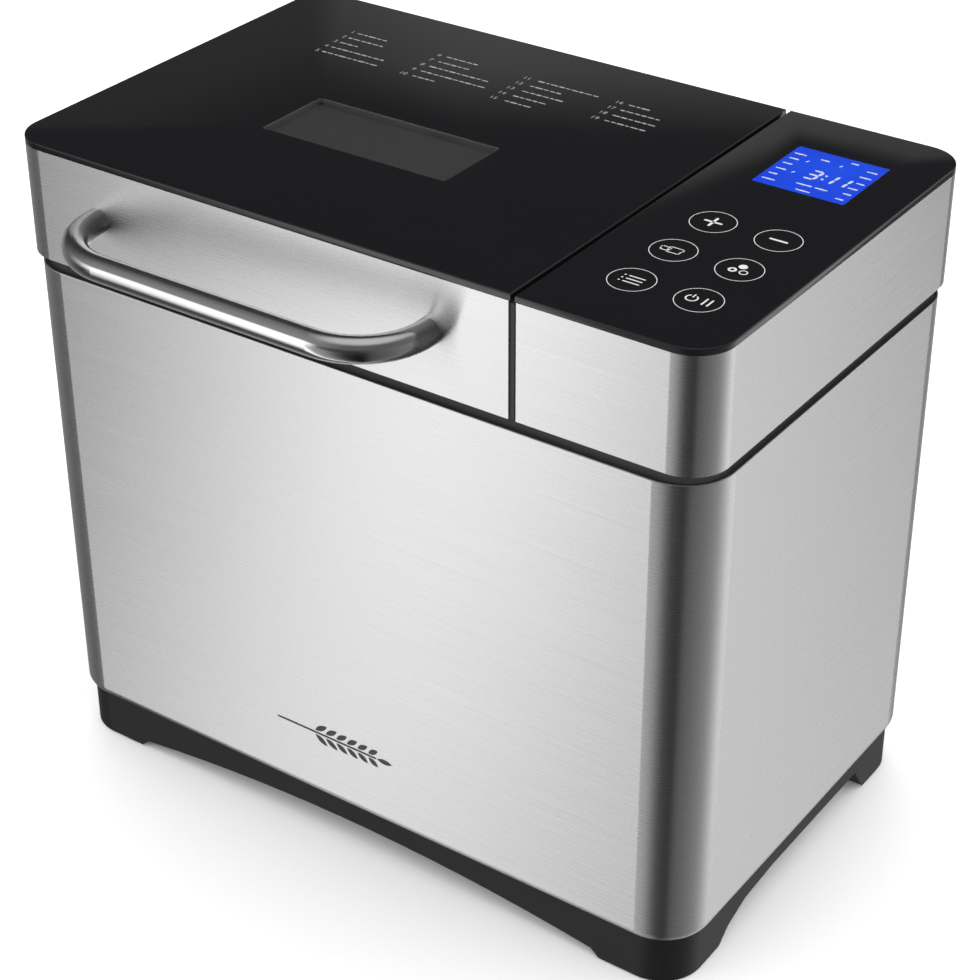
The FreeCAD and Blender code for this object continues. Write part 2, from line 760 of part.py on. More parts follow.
def top_frame():
    """Deck inside the top of the wrap, with the recessed band that lid and panel stand on."""
    piece = Piece("top_frame")
    piece.add([housing_outline("sheet_steel")], "housing_top - deck_plate", "housing_top")
    piece.cut([chamber_outline("-chamber_fit")], "housing_top - deck_plate", "housing_top")
    hole = rectangle("motor_x - wire_hole_width / 2", "motor_x + wire_hole_width / 2",
                     "motor_y - wire_hole_depth / 2", "motor_y + wire_hole_depth / 2")
    piece.cut([hole], "housing_top - deck_plate", "housing_top")
    piece.add([housing_outline("band_inset"), housing_outline("band_inset + band_wall")],
              "housing_top", "skirt_bottom - lid_rest")
    swing = rectangle("left", "panel_start", "hinge_y - swing_room", "back")
    piece.cut([swing], "housing_top", "skirt_bottom")
    panel = [("panel_start", "right - band_inset", "front + band_inset", "back - band_inset",
              "housing_corner - band_inset - band_wall"),
             ("panel_start + band_wall", "right - band_inset - band_wall", "front + band_inset + band_wall",
              "back - band_inset - band_wall", "housing_corner - band_inset - 2 * band_wall")]
    piece.add([rounded(*sides) for sides in panel], "housing_top", "skirt_bottom")


def chamber():
    """Open box of sheet metal that hangs by its flange from the deck."""
    piece = Piece("chamber")
    piece.add([chamber_outline("0")], "chamber_floor", "housing_top + chamber_wall")
    piece.soften("chamber_wall * 2", at_height("chamber_floor"))
    flange = [chamber_outline("-chamber_flange"), chamber_outline("0")]
    piece.add(flange, "housing_top", "housing_top + chamber_wall")
    piece.cut([chamber_outline("chamber_wall")], "floor_top", "housing_top + chamber_wall")
    piece.cut([circle("pan_x", "pan_y", "drive_hole")], "chamber_floor", "floor_top")
    piece.cut([circle(x, y, "flange_screw") for x, y in flange_screw_places()],
              "housing_top", "housing_top + chamber_wall")
    for y in heater_ends():
        piece.cut([circle(y, "heater_z", "ceramic_radius - ceramic_shoulder")],
                  "chamber_right - chamber_wall", "chamber_right", "YZ")
    piece.cut([circle("pan_y", "floor_top + probe_rise", "probe_radius")], "chamber_right - chamber_wall",
              "chamber_right", "YZ")


def flange_screw_places():
    """Centres of the four screws that hold the chamber's flange to the deck."""
    out = "chamber_flange / 2"
    return [(x, y) for x in (f"chamber_left - {out}", f"chamber_right + {out}")
            for y in ("chamber_front + chamber_corner + flange_screw_inset",
                      "chamber_back - chamber_corner - flange_screw_inset")]


def heater_ends():
    """Where along Y the heater's two ends leave the chamber."""
    return ("pan_y - heater_gap / 2", "pan_y + heater_gap / 2")


def chamber_screws():
    piece = Piece("chamber_screws")
    places = flange_screw_places()
    top = "housing_top + chamber_wall"
    piece.add([circle(x, y, "flange_screw_head") for x, y in places], top,
              f"{top} + flange_screw_head_height")
    for x, y in places:
        piece.add([circle(x, y, "flange_screw")], "housing_top", top)


def heater_element():
    """Tubular heater: one loop round the lower part of the pan, with both ends out through the side."""
    piece = Piece("heater_element")
    first, last = heater_ends()
    end = "chamber_right + heater_end"
    path = route([(end, first), ("heater_right", first), ("heater_right", "heater_front"),
                  ("heater_left", "heater_front"), ("heater_left", "heater_back"),
                  ("heater_right", "heater_back"), ("heater_right", last), (end, last)], "heater_bend")
    piece.pipe([circle(first, "heater_z", "heater_radius")], "YZ", end, path, "heater_z")


def heater_clips():
    """Saddles that hold the heater to the chamber's left, front and back walls."""
    piece = Piece("heater_clips")
    low, high = "heater_z - heater_radius - clip_margin", "heater_z + heater_radius + clip_margin"
    reach = "heater_inset + heater_radius + clip_margin"
    across = "pan_x - clip_width / 2", "pan_x + clip_width / 2"
    piece.add([rectangle(*across, "chamber_front + chamber_wall", f"chamber_front + {reach}"),
               rectangle(*across, f"chamber_back - ({reach})", "chamber_back - chamber_wall"),
               rectangle("chamber_left + chamber_wall", f"chamber_left + {reach}",
                         "pan_y - clip_width / 2", "pan_y + clip_width / 2")], low, high)
    for y in ("heater_front", "heater_back"):
        piece.cut([circle(y, "heater_z", "heater_radius")], *across, "YZ")
    piece.cut([circle("heater_left", "heater_z", "heater_radius")], "pan_y - clip_width / 2",
              "pan_y + clip_width / 2", "XZ")


def heater_bushes():
    """Ceramic bushes where the heater's ends pass through the chamber's wall."""
    piece = Piece("heater_bushes")
    wall = "chamber_right - chamber_wall"
    rings = [circle(y, "heater_z", "ceramic_radius - ceramic_shoulder") for y in heater_ends()]
    collars = [circle(y, "heater_z", "ceramic_radius") for y in heater_ends()]
    piece.add(rings, f"{wall} - ceramic_in", "chamber_right", "YZ")
    piece.add(collars, "chamber_right", "chamber_right + ceramic_out", "YZ")
    piece.cut([circle(y, "heater_z", "heater_radius") for y in heater_ends()], f"{wall} - ceramic_in",
              "chamber_right + ceramic_out", "YZ")


def thermistor():
    """Temperature probe through the chamber's right wall."""
    piece = Piece("thermistor")
    height = "floor_top + probe_rise"
    piece.add([circle("pan_y", height, "probe_radius")], "chamber_right - probe_in",
              "chamber_right + probe_out", "YZ")
    piece.add([circle("pan_y", height, "probe_radius + probe_collar")], "chamber_right",
              "chamber_right + probe_collar", "YZ")


def thermal_fuse():
    """Cut-out that is clamped to the outside of the chamber's wall."""
    piece = Piece("thermal_fuse")
    height = "floor_top + fuse_rise"
    piece.add([rectangle("pan_y - fuse_width / 2", "pan_y + fuse_width / 2", f"{height} - fuse_height / 2",
                         f"{height} + fuse_height / 2")], "chamber_right",
              "chamber_right + fuse_plate", "YZ")
    piece.add([rectangle("pan_y - fuse_width / 4", "pan_y + fuse_width / 4", f"{height} - fuse_height / 2",
                         f"{height} + fuse_height / 2")], "chamber_right + fuse_plate",
              "chamber_right + fuse_depth", "YZ")


def pan_socket():
    """Raised ring on the chamber's floor that the pan's foot ring drops over."""
    piece = Piece("pan_socket")
    outer = "foot_ring_radius - foot_ring_wall - socket_fit"
    piece.add([circle("pan_x", "pan_y", outer), circle("pan_x", "pan_y", f"{outer} - socket_wall")],
              "floor_top", "floor_top + socket_height")


def pan_clips():
    """Two springs that grip the pan's foot ring from outside."""
    piece = Piece("pan_clips")
    for side in ("-", "+"):
        near = f"pan_x {side} (foot_ring_radius + spring_fit)"
        far = f"pan_x {side} (foot_ring_radius + spring_fit + spring_sheet)"
        toe = f"pan_x {side} (foot_ring_radius + spring_fit + spring_sheet + spring_foot)"
        low, high, end = (far, near, toe) if side == "-" else (near, far, toe)
        y_low, y_high = "pan_y - spring_width / 2", "pan_y + spring_width / 2"
        piece.add([rectangle(low, high, y_low, y_high)], "floor_top", "floor_top + spring_height")
        foot = (end, far) if side == "-" else (far, end)
        piece.add([rectangle(*foot, y_low, y_high)], "floor_top", "floor_top + spring_sheet")


# ---- bread pan ----

def bread_pan():
    """Loaf pan with drafted walls, a round floor edge and a thick rim."""
    outer = Piece("pan_form", kept=False)
    outer.flare(pan_outline("pan_draft"), "pan_bottom", "pan_top", "pan_draft")
    outer.soften("pan_floor_radius", at_height("pan_bottom"))
    outer.add([pan_outline("-rim_width"), pan_outline("pan_wall")], "pan_top - rim_height", "pan_top")
    inner = Piece("pan_hollow", kept=False)
    inner.flare(pan_outline("pan_draft + pan_wall"), "pan_bottom + pan_wall", "pan_top", "pan_draft")
    inner.soften("pan_floor_radius - pan_wall", at_height("pan_bottom + pan_wall"))
    inner.add([circle("pan_x", "pan_y", "bush_radius")], "pan_bottom - overcut",
              "pan_bottom + pan_wall + overcut")
    inner.add([pan_outline("pan_wall")], "pan_top", "pan_top + overcut")
    for low, high in (("pan_left - overcut", "pan_left + pan_draft"),
                      ("pan_right - pan_draft", "pan_right + overcut")):
        inner.add(rivet_row("rivet_radius"), low, high, "YZ")
    combine("Cut", "bread_pan", outer.body, inner.body)


def pan_foot():
    """Ring under the pan that stands in the chamber and locates it."""
    piece = Piece("pan_foot")
    piece.add([circle("pan_x", "pan_y", "foot_ring_radius"),
               circle("pan_x", "pan_y", "foot_ring_radius - foot_ring_wall")],
              "floor_top + foot_ring_gap", "pan_bottom")


def pan_ears():
    """Riveted ears at the pan's short ends that hold the bail."""
    for name, face, out in (("pan_ear_left", "pan_left - rim_width", "-"),
                            ("pan_ear_right", "pan_right + rim_width", "+")):
        piece = Piece(name)
        sides = (f"{face} - ear_sheet", face) if out == "-" else (face, f"{face} + ear_sheet")
        plate = rounded("pan_y - pan_ear_width / 2", "pan_y + pan_ear_width / 2", "pan_top - pan_ear_drop",
                        "bail_z + bail_radius + pan_ear_margin", "pan_ear_corner")
        piece.add([plate], *sides, "YZ")
        piece.cut([circle("pan_y", "bail_z", "bail_radius + running_gap")], *sides, "YZ")


def rivet_row(radius):
    """Outlines of the two rivets of one ear, seen from the pan's end."""
    height = "pan_top - rim_height - rivet_drop"
    return [circle(y, height, radius) for y in ("pan_y - rivet_spread", "pan_y + rivet_spread")]


def ear_rivets():
    """Two rivets at each ear, with a head inside the pan and one on the ear."""
    piece = Piece("ear_rivets")
    face, shank = "rim_width + ear_sheet", "pan_wall + rivet_slack"
    pins, heads = rivet_row("rivet_radius"), rivet_row("rivet_radius + rivet_head_lip")
    piece.add(pins, "pan_left - rim_width", f"pan_left + {shank}", "YZ")
    piece.add(heads, f"pan_left + {shank}", f"pan_left + {shank} + rivet_head", "YZ")
    piece.add(heads, f"pan_left - ({face}) - rivet_head", f"pan_left - ({face})", "YZ")
    piece.add(pins, f"pan_right - ({shank})", "pan_right + rim_width", "YZ")
    piece.add(heads, f"pan_right - ({shank}) - rivet_head", f"pan_right - ({shank})", "YZ")
    piece.add(heads, f"pan_right + {face}", f"pan_right + {face} + rivet_head", "YZ")


def pan_bush():
    """Bush in the pan's floor that the paddle's shaft turns in."""
    piece = Piece("pan_bush")
    low, high = "pan_bottom - bush_below", "pan_bottom + bush_above"
    piece.add([circle("pan_x", "pan_y", "bush_radius")], low, high)
    piece.cut([circle("pan_x", "pan_y", "shaft_radius + running_gap")], low, high)


def shaft_seal():
    piece = Piece("shaft_seal")
    low, high = "pan_bottom + bush_above", "pan_bottom + bush_above + seal_height"
    piece.add([circle("pan_x", "pan_y", "seal_radius")], low, high)
    piece.cut([circle("pan_x", "pan_y", "shaft_radius + running_gap")], low, high)


def bail():
    """Wire handle that lies forward on the pan and swings up over it."""
    piece = Piece("bail")
    path = route([("bail_left", "pan_y"), ("bail_left", "pan_y - bail_reach"),
                  ("bail_right", "pan_y - bail_reach"), ("bail_right", "pan_y")], "bail_bend")
    piece.pipe([circle("bail_left", "bail_z", "bail_radius")], "XZ", "pan_y", path, "bail_z")
    pin = circle("pan_y", "bail_z", "bail_radius")
    piece.add([pin], "bail_left - bail_radius", "pan_left - rim_width + bail_pin_grip", "YZ")
    piece.add([pin], "pan_right + rim_width - bail_pin_grip", "bail_right + bail_radius", "YZ")


# ---- couplings, paddle and drive ----

def pan_shaft():
    piece = Piece("pan_shaft")
    piece.add([circle("pan_x", "pan_y", "shaft_radius")], "coupling_bottom", "pan_bottom + shaft_above")


def pan_coupling():
    """Cross bar under the pan that the drive coupling's lugs push round."""
    piece = Piece("pan_coupling")
    top = "coupling_bottom + pan_coupling_height"
    bar = rectangle("pan_x - pan_coupling_width / 2", "pan_x + pan_coupling_width / 2",
                    "pan_y - pan_coupling_arm", "pan_y + pan_coupling_arm")
    piece.add([circle("pan_x", "pan_y", "pan_coupling_hub")], "coupling_bottom", top)
    piece.add([bar], "coupling_bottom", top)
    piece.cut([circle("pan_x", "pan_y", "shaft_radius")], "coupling_bottom", top)


def paddle():
    """Kneading paddle: a capped hub with one tapering blade."""
    piece = Piece("paddle")
    low = "pan_bottom + bush_above + seal_height + paddle_gap"
    high = f"{low} + paddle_height"
    blade = [("pan_x", "pan_y - paddle_root"), ("pan_x + paddle_belly", "pan_y - paddle_root"),
             ("pan_x + paddle_reach", "pan_y"), ("pan_x + paddle_reach", "pan_y + paddle_tip"),
             ("pan_x + paddle_belly", "pan_y + paddle_tip"), ("pan_x", "pan_y + paddle_root")]
    piece.add([circle("pan_x", "pan_y", "paddle_hub")], low, high)
    piece.add([polygon(blade)], low, f"{high} - paddle_shoulder")
    slope = [("pan_x + paddle_hub + paddle_shoulder", high), ("pan_x + paddle_reach + overcut", high),
             ("pan_x + paddle_reach + overcut", f"{low} + paddle_end_height")]
    piece.cut([polygon(slope)], "pan_y - paddle_root - overcut", "pan_y + paddle_root + overcut", "XZ")
    piece.cut([circle("pan_x", "pan_y", "shaft_radius + running_gap")], low, f"{low} + paddle_bore_depth")


def drive_coupling():
    """Disc with two lugs on top of the drive shaft."""
    piece = Piece("drive_coupling")
    piece.add([circle("pan_x", "pan_y", "drive_disc_radius")], "drive_disc_bottom", "drive_disc_top")
    lugs = [rectangle("pan_x - drive_lug_out", "pan_x - drive_lug_in", "pan_y - drive_lug_width / 2",
                      "pan_y + drive_lug_width / 2"),
            rectangle("pan_x + drive_lug_in", "pan_x + drive_lug_out", "pan_y - drive_lug_width / 2",
                      "pan_y + drive_lug_width / 2")]
    piece.add(lugs, "drive_disc_top", "drive_disc_top + drive_lug_height")


def drive_shaft():
    piece = Piece("drive_shaft")
    piece.add([circle("pan_x", "pan_y", "shaft_radius")], "pulley_bottom - shaft_end", "drive_disc_bottom")


def large_pulley():
    """Flanged pulley with a thin web, round holes and a hub."""
    piece = Piece("large_pulley")
    flange, middle = "pulley_radius", ("pan_x", "pan_y")
    piece.add([circle(*middle, flange)], "pulley_bottom", "pulley_bottom + pulley_flange")
    piece.add([circle(*middle, "pulley_radius - pulley_groove")], "pulley_bottom + pulley_flange",
              "pulley_top - pulley_flange")
    piece.add([circle(*middle, flange)], "pulley_top - pulley_flange", "pulley_top")
    recess = [circle(*middle, "pulley_radius - pulley_rim"), circle(*middle, "pulley_hub")]
    piece.cut(recess, "pulley_bottom + pulley_web", "pulley_top")
    holes = []
    for index in range(6):
        holes.append(circle(f"pan_x + pulley_hole_circle * cos({60 * index})",
                            f"pan_y + pulley_hole_circle * sin({60 * index})", "pulley_hole"))
    piece.cut(holes, "pulley_bottom", "pulley_bottom + pulley_web")
    piece.cut([circle(*middle, "shaft_radius")], "pulley_bottom", "pulley_top")


def drive_housing():
    """Bearing housing under the chamber's floor."""
    piece = Piece("drive_housing")
    low, high = "chamber_floor - drive_flange - drive_boss_height", "chamber_floor"
    piece.add([circle("pan_x", "pan_y", "drive_flange_radius")], "chamber_floor - drive_flange", high)
    piece.add([circle("pan_x", "pan_y", "drive_boss_radius")], low, "chamber_floor - drive_flange")
    piece.cut([circle("pan_x", "pan_y", "drive_seat")], low, high)


def drive_bushes():
    """Sintered bushes at both ends of the drive housing."""
    piece = Piece("drive_bushes")
    low = "chamber_floor - drive_flange - drive_boss_height"
    rings = [circle("pan_x", "pan_y", "drive_seat"), circle("pan_x", "pan_y", "shaft_radius + running_gap")]
    piece.add(rings, low, f"{low} + drive_bush_height")
    piece.add(rings, "chamber_floor - drive_bush_height", "chamber_floor")


def belt():
    """Flat belt round both pulleys, a little clear of their grooves."""
    large = number("pulley_radius - pulley_groove + belt_gap")
    small = number("motor_pulley_radius - pulley_groove + belt_gap")
    start = FreeCAD.Vector(number("pan_x"), number("pan_y"), 0)
    end = FreeCAD.Vector(number("motor_x"), number("motor_y"), 0)
    thickness = number("belt_thickness")
    low = number("pulley_bottom + pulley_flange + belt_edge_gap")
    high = number("pulley_top - pulley_flange - belt_edge_gap")
    solid = belt_plate(start, large + thickness, end, small + thickness, low, high)
    overcut = number("overcut")
    solid = solid.cut(belt_plate(start, large, end, small, low - overcut, high + overcut))
    node = DOC.addObject("Part::Feature", "belt")
    node.Label = "belt"
    node.Shape = solid
    node.Placement = FreeCAD.Placement()
    NODES.append(node)


def belt_plate(first, first_radius, second, second_radius, low, high):
    """Plate between two levels whose outline wraps two circles."""
    along = second - first
    lean = math.asin((first_radius - second_radius) / along.Length)
    heading = math.atan2(along.y, along.x)

    def spot(centre, radius, angle):
        return centre + FreeCAD.Vector(math.cos(angle), math.sin(angle), 0) * radius
    up, down = heading + math.pi / 2 - lean, heading - math.pi / 2 + lean
    edges = [Part.makeLine(spot(first, first_radius, up), spot(second, second_radius, up)),
             Part.Arc(spot(second, second_radius, up), spot(second, second_radius, heading),
                      spot(second, second_radius, down)).toShape(),
             Part.makeLine(spot(second, second_radius, down), spot(first, first_radius, down)),
             Part.Arc(spot(first, first_radius, down), spot(first, first_radius, heading + math.pi),
                      spot(first, first_radius, up)).toShape()]
    face = Part.Face(Part.Wire(edges))
    face.translate(FreeCAD.Vector(0, 0, low))
    return face.extrude(FreeCAD.Vector(0, 0, high - low))


def motor_can():
    """Motor body, open down its middle for its own shaft."""
    piece = Piece("motor_can")
    high = "bracket_top + motor_height"
    piece.add([circle("motor_x", "motor_y", "motor_radius")], "bracket_top", high)
    top = f"{high} + motor_nose"
    piece.add([circle("motor_x", "motor_y", "bracket_hole - motor_nose_gap")], high, top)
    piece.cut([circle("motor_x", "motor_y", "motor_shaft + running_gap")], "bracket_top", top)


def motor_shaft():
    piece = Piece("motor_shaft")
    piece.add([circle("motor_x", "motor_y", "motor_shaft")], "pulley_bottom - shaft_end / 2",
              "bracket_top + motor_height + motor_nose + motor_shaft_tip")


def motor_pulley():
    """Small flanged pulley on the motor's shaft."""
    piece = Piece("motor_pulley")
    middle = ("motor_x", "motor_y")
    piece.add([circle(*middle, "motor_pulley_radius")], "pulley_bottom", "pulley_bottom + pulley_flange")
    piece.add([circle(*middle, "motor_pulley_radius - pulley_groove")], "pulley_bottom + pulley_flange",
              "pulley_top - pulley_flange")
    piece.add([circle(*middle, "motor_pulley_radius")], "pulley_top - pulley_flange", "pulley_top")
    piece.cut([circle(*middle, "motor_shaft")], "pulley_bottom", "pulley_top")


def motor_bracket():
    """Steel plate on the base's posts that carries the motor."""
    piece = Piece("motor_bracket")
    plate = rounded("motor_x - bracket_width / 2", "motor_x + bracket_width / 2",
                    "motor_y - bracket_depth / 2", "motor_y + bracket_depth / 2", "post_margin")
    piece.add([plate], "bracket_bottom", "bracket_top")
    piece.cut([circle("motor_x", "motor_y", "bracket_hole")], "bracket_bottom", "bracket_top")
    piece.cut([circle(x, y, "motor_screw") for x, y in post_places()], "bracket_bottom", "bracket_top")


def motor_screws():
    piece = Piece("motor_screws")
    heads = [circle(x, y, "motor_screw_head") for x, y in post_places()]
    piece.add(heads, "bracket_top", "bracket_top + motor_screw_head_height")
    for x, y in post_places():
        piece.add([circle(x, y, "motor_screw")], "bracket_bottom - motor_screw_depth", "bracket_top")


# ---- control panel ----

def panel_skirt():
    """Steel skirt round the control panel."""
    piece = Piece("panel_skirt")
    piece.add([body_outline("0"), body_outline("sheet_steel")], "skirt_bottom", "skirt_top")
    piece.cut([beside_lid()], "skirt_bottom", "skirt_top")


def panel_frame():
    """Plastic frame inside the panel's skirt, closed on the side that faces the lid."""
    piece = Piece("panel_frame")
    piece.add([body_outline("sheet_steel")], "skirt_bottom", "skirt_top")
    piece.cut([beside_lid()], "skirt_bottom", "skirt_top")
    piece.cut([panel_board_outline()], "skirt_bottom", "skirt_top")


def panel_board_outline():
    """Plan outline of the board that fills the panel's frame."""
    return rounded("panel_start + frame_wall", "right - sheet_steel - frame_wall",
                   "front + sheet_steel + frame_wall", "back - sheet_steel - frame_wall",
                   "corner_radius - sheet_steel - frame_wall")


def panel_glass():
    """Black glass on top of the panel."""
    piece = Piece("panel_glass")
    piece.add([body_outline("0")], "skirt_top", "total_height")
    piece.cut([rectangle("left - overcut", "split + seam_glass_side", "front - overcut",
                         "back + overcut")], "skirt_top", "total_height")
    piece.soften("glass_bevel", at_height("total_height"), "PartDesign::Chamfer")


def touch_board():
    Piece("touch_board").add([panel_board_outline()], "board_bottom", "board_top")


def display_module():
    """Display that lies on the touch board, under the glass."""
    piece = Piece("display_module")
    piece.add([rectangle("display_x - display_width / 2", "display_x + display_width / 2",
                         "display_y - display_depth / 2", "display_y + display_depth / 2")],
              "board_top", "skirt_top")


def key_places():
    """Centres of the six touch keys, two in each row."""
    return [(f"right - key_first_right + {column} * key_column",
             f"front + key_first_front + {row} * key_row") for row in range(3) for column in range(2)]


def touch_springs():
    """Contact springs between the touch board and the glass, one under each key."""
    piece = Piece("touch_springs")
    for x, y in key_places():
        ring = [circle(x, y, "key_spring"), circle(x, y, "key_spring - key_spring_wall")]
        piece.add(ring, "board_top", "skirt_top")


def board_carrier():
    """Plastic plate that hangs under the deck and carries the power board."""
    piece = Piece("board_carrier")
    y_low, y_high = "motor_y - carrier_width / 2", "motor_y + carrier_width / 2"
    piece.add([rectangle(y_low, y_high, "carrier_bottom", "housing_top - deck_plate")],
              "carrier_x", "carrier_x + carrier_wall", "YZ")
    posts = [circle(f"motor_y {y} (power_board_width / 2 - standoff_margin)",
                    f"board_z {z} (power_board_height / 2 - standoff_margin)", "standoff_radius")
             for y in "-+" for z in "-+"]
    piece.add(posts, "carrier_x - standoff_height", "carrier_x", "YZ")


def power_board():
    piece = Piece("power_board")
    piece.add([rectangle("motor_y - power_board_width / 2", "motor_y + power_board_width / 2",
                         "board_z - power_board_height / 2", "board_z + power_board_height / 2")],
              "board_x", "board_x + board_thickness", "YZ")


def capacitor():
    """Smoothing capacitor on the power board."""
    piece = Piece("capacitor")
    piece.add([circle("motor_y - power_board_width / 4", "board_z", "capacitor_radius")],
              "board_x - capacitor_height", "board_x", "YZ")


def relay():
    piece = Piece("relay")
    middle = "motor_y + power_board_width / 4"
    piece.add([rectangle(f"{middle} - relay_width / 2", f"{middle} + relay_width / 2",
                         "board_z - relay_height / 2", "board_z + relay_height / 2")],
              "board_x - relay_depth", "board_x", "YZ")


# ---- lid ----

def lid_skirt():
    """Steel skirt round the lid, open at the seam and notched at the back for the hinge ears."""
    piece = Piece("lid_skirt")
    piece.add([body_outline("0"), body_outline("sheet_steel")], "skirt_bottom", "skirt_top")
    piece.cut([beyond_lid()], "skirt_bottom", "skirt_top")
    cut_ear_notches(piece, "back - corner_radius / 4")
    screws = [circle(x, "handle_z", "handle_screw") for x in ("handle_left", "handle_right")]
    piece.cut(screws, "front - overcut", "front + 2 * sheet_steel", "XZ")


def cut_ear_notches(piece, inner):
    """Room for the two hinge ears in a back wall of the lid."""
    for ear in ("left_ear", "right_ear"):
        notch = rectangle(f"{ear} - ear_width / 2 - notch_clear", f"{ear} + ear_width / 2 + notch_clear",
                          "skirt_bottom - overcut", "hinge_z + notch_rise")
        piece.cut([notch], inner, "back + overcut", "XZ")


def lid_frame():
    """Plastic frame inside the lid: walls, top web, end cap, window tunnel, hinge and handle bosses."""
    piece = Piece("lid_frame")
    piece.add([body_outline("sheet_steel")], "skirt_bottom", "skirt_top")
    piece.cut([beyond_lid()], "skirt_bottom", "skirt_top")
    inner = rounded("left + sheet_steel + frame_wall", "lid_end - frame_wall",
                    "front + sheet_steel + frame_wall", "back - sheet_steel - frame_wall",
                    "corner_radius - sheet_steel - frame_wall")
    piece.cut([inner], "skirt_bottom", "skirt_top - frame_web")
    cap = rectangle("lid_end", "cap_end", "front + sheet_steel", "back - sheet_steel")
    piece.add([cap], "skirt_bottom", "skirt_top - end_cap_drop")
    piece.cut([window_outline("window_clear")], "skirt_top - frame_web", "skirt_top")
    piece.add([window_outline("window_clear + tunnel_wall"), window_outline("window_clear")],
              "pane_top", "skirt_top - frame_web")
    for ear in ("left_ear", "right_ear"):
        gap = "(ear_width / 2 + boss_clear)"
        bosses = [rectangle(f"{ear} - {gap} - boss_width", f"{ear} - {gap}", "hinge_y - boss_reach",
                            "back - sheet_steel - frame_wall"),
                  rectangle(f"{ear} + {gap}", f"{ear} + {gap} + boss_width", "hinge_y - boss_reach",
                            "back - sheet_steel - frame_wall")]
        piece.add(bosses, "skirt_bottom", "skirt_top - frame_web")
        piece.cut([circle("hinge_y", "hinge_z", "pin_radius")], f"{ear} - {gap} - boss_width",
                  f"{ear} + {gap} + boss_width", "YZ")
    cut_ear_notches(piece, "back - sheet_steel - frame_wall - overcut")
    wall = "front + sheet_steel + frame_wall"
    blocks = [rectangle(f"{x} - handle_block / 2", f"{x} + handle_block / 2", wall,
                        f"{wall} + handle_block_depth") for x in ("handle_left", "handle_right")]
    piece.add(blocks, "handle_z - handle_block / 2", "skirt_top - frame_web")
    screws = [circle(x, "handle_z", "handle_screw") for x in ("handle_left", "handle_right")]
    piece.cut(screws, "front", f"{wall} + handle_block_depth", "XZ")


def lid_glass():
    """Black glass on top of the lid."""
    piece = Piece("lid_glass")
    piece.add([body_outline("0")], "skirt_top", "total_height")
    piece.cut([rectangle("split - seam_glass_side", "right + overcut", "front - overcut",
                         "back + overcut")], "skirt_top", "total_height")
    piece.soften("glass_bevel", at_height("total_height"), "PartDesign::Chamfer")


def lid_liner():
    """Pressed sheet that closes the lid below, dished over the baking chamber, with the window's hole."""
    piece = Piece("lid_liner")
    edge = "sheet_steel + frame_wall"
    plate = rounded(f"left + {edge}", "lid_end - frame_wall", f"front + {edge}", "hinge_y - liner_setback",
                    f"corner_radius - ({edge})")
    piece.add([plate], "liner_bottom", "liner_top")
    dish = [chamber_outline("chamber_wall + liner_room"),
            chamber_outline("chamber_wall + liner_room + liner_sheet")]
    piece.cut([dish[1]], "liner_bottom", "liner_top")
    piece.add(dish, "dish_bottom", "liner_top")
    piece.add([dish[1]], "dish_bottom", "gasket_bottom")
    piece.cut([window_outline("window_clear")], "dish_bottom", "gasket_bottom")


def window_gasket():
    """Silicone ring between the liner and the window's pane."""
    piece = Piece("window_gasket")
    piece.add([window_outline("pane_margin"), window_outline("gasket_lip")], "gasket_bottom", "pane_bottom")


def window_pane():
    """Inner pane of the window, held between the gasket and the tunnel."""
    Piece("window_pane").add([window_outline("pane_margin")], "pane_bottom", "pane_top")


def hinge_ears():
    """Ears that stand on the deck and hold the lid's pins."""
    for name, x in (("hinge_ear_left", "left_ear"), ("hinge_ear_right", "right_ear")):
        piece = Piece(name)
        sides = (f"{x} - ear_width / 2", f"{x} + ear_width / 2")
        piece.add([rectangle("hinge_y - ear_radius", "hinge_y + ear_radius", "housing_top", "hinge_z")],
                  *sides, "YZ")
        piece.add([circle("hinge_y", "hinge_z", "ear_radius")], *sides, "YZ")
        piece.cut([circle("hinge_y", "hinge_z", "pin_radius + pin_clear")], *sides, "YZ")


def hinge_pins():
    """Pins pressed into the lid's bosses, one through each ear."""
    for name, x in (("hinge_pin_left", "left_ear"), ("hinge_pin_right", "right_ear")):
        reach = "(ear_width / 2 + boss_clear + boss_width)"
        pin = circle("hinge_y", "hinge_z", "pin_radius")
        Piece(name).add([pin], f"{x} - {reach}", f"{x} + {reach}", "YZ")


def handle():
    """Bent steel tube across the lid's front, with a solid plug in each end."""
    piece = Piece("handle")
    path = route([("handle_left", "front"), ("handle_left", "handle_front"),
                  ("handle_right", "handle_front"), ("handle_right", "front")], "handle_bend")
    bar = circle("handle_left", "handle_z", "handle_tube / 2")
    bore = circle("handle_left", "handle_z", "handle_bore / 2")
    piece.pipe([bar, bore], "XZ", "front", path, "handle_z")
    ends, plug = ("handle_left", "handle_right"), "handle_bore / 2 + handle_plug_bite"
    piece.add([circle(x, "handle_z", plug) for x in ends], "front - handle_plug", "front", "XZ")
    screws = [circle(x, "handle_z", "handle_screw") for x in ends]
    piece.cut(screws, "front - handle_plug + handle_plug_end", "front", "XZ")


def handle_screws():
    """Screws from inside the lid into the handle's plugs."""
    piece = Piece("handle_screws")
    face = "front + sheet_steel + frame_wall + handle_block_depth"
    for x in ("handle_left", "handle_right"):
        piece.add([circle(x, "handle_z", "handle_screw_head")], face,
                  f"{face} + handle_screw_head_height", "XZ")
        piece.add([circle(x, "handle_z", "handle_screw")], "front - handle_plug + handle_plug_end",
                  face, "XZ")


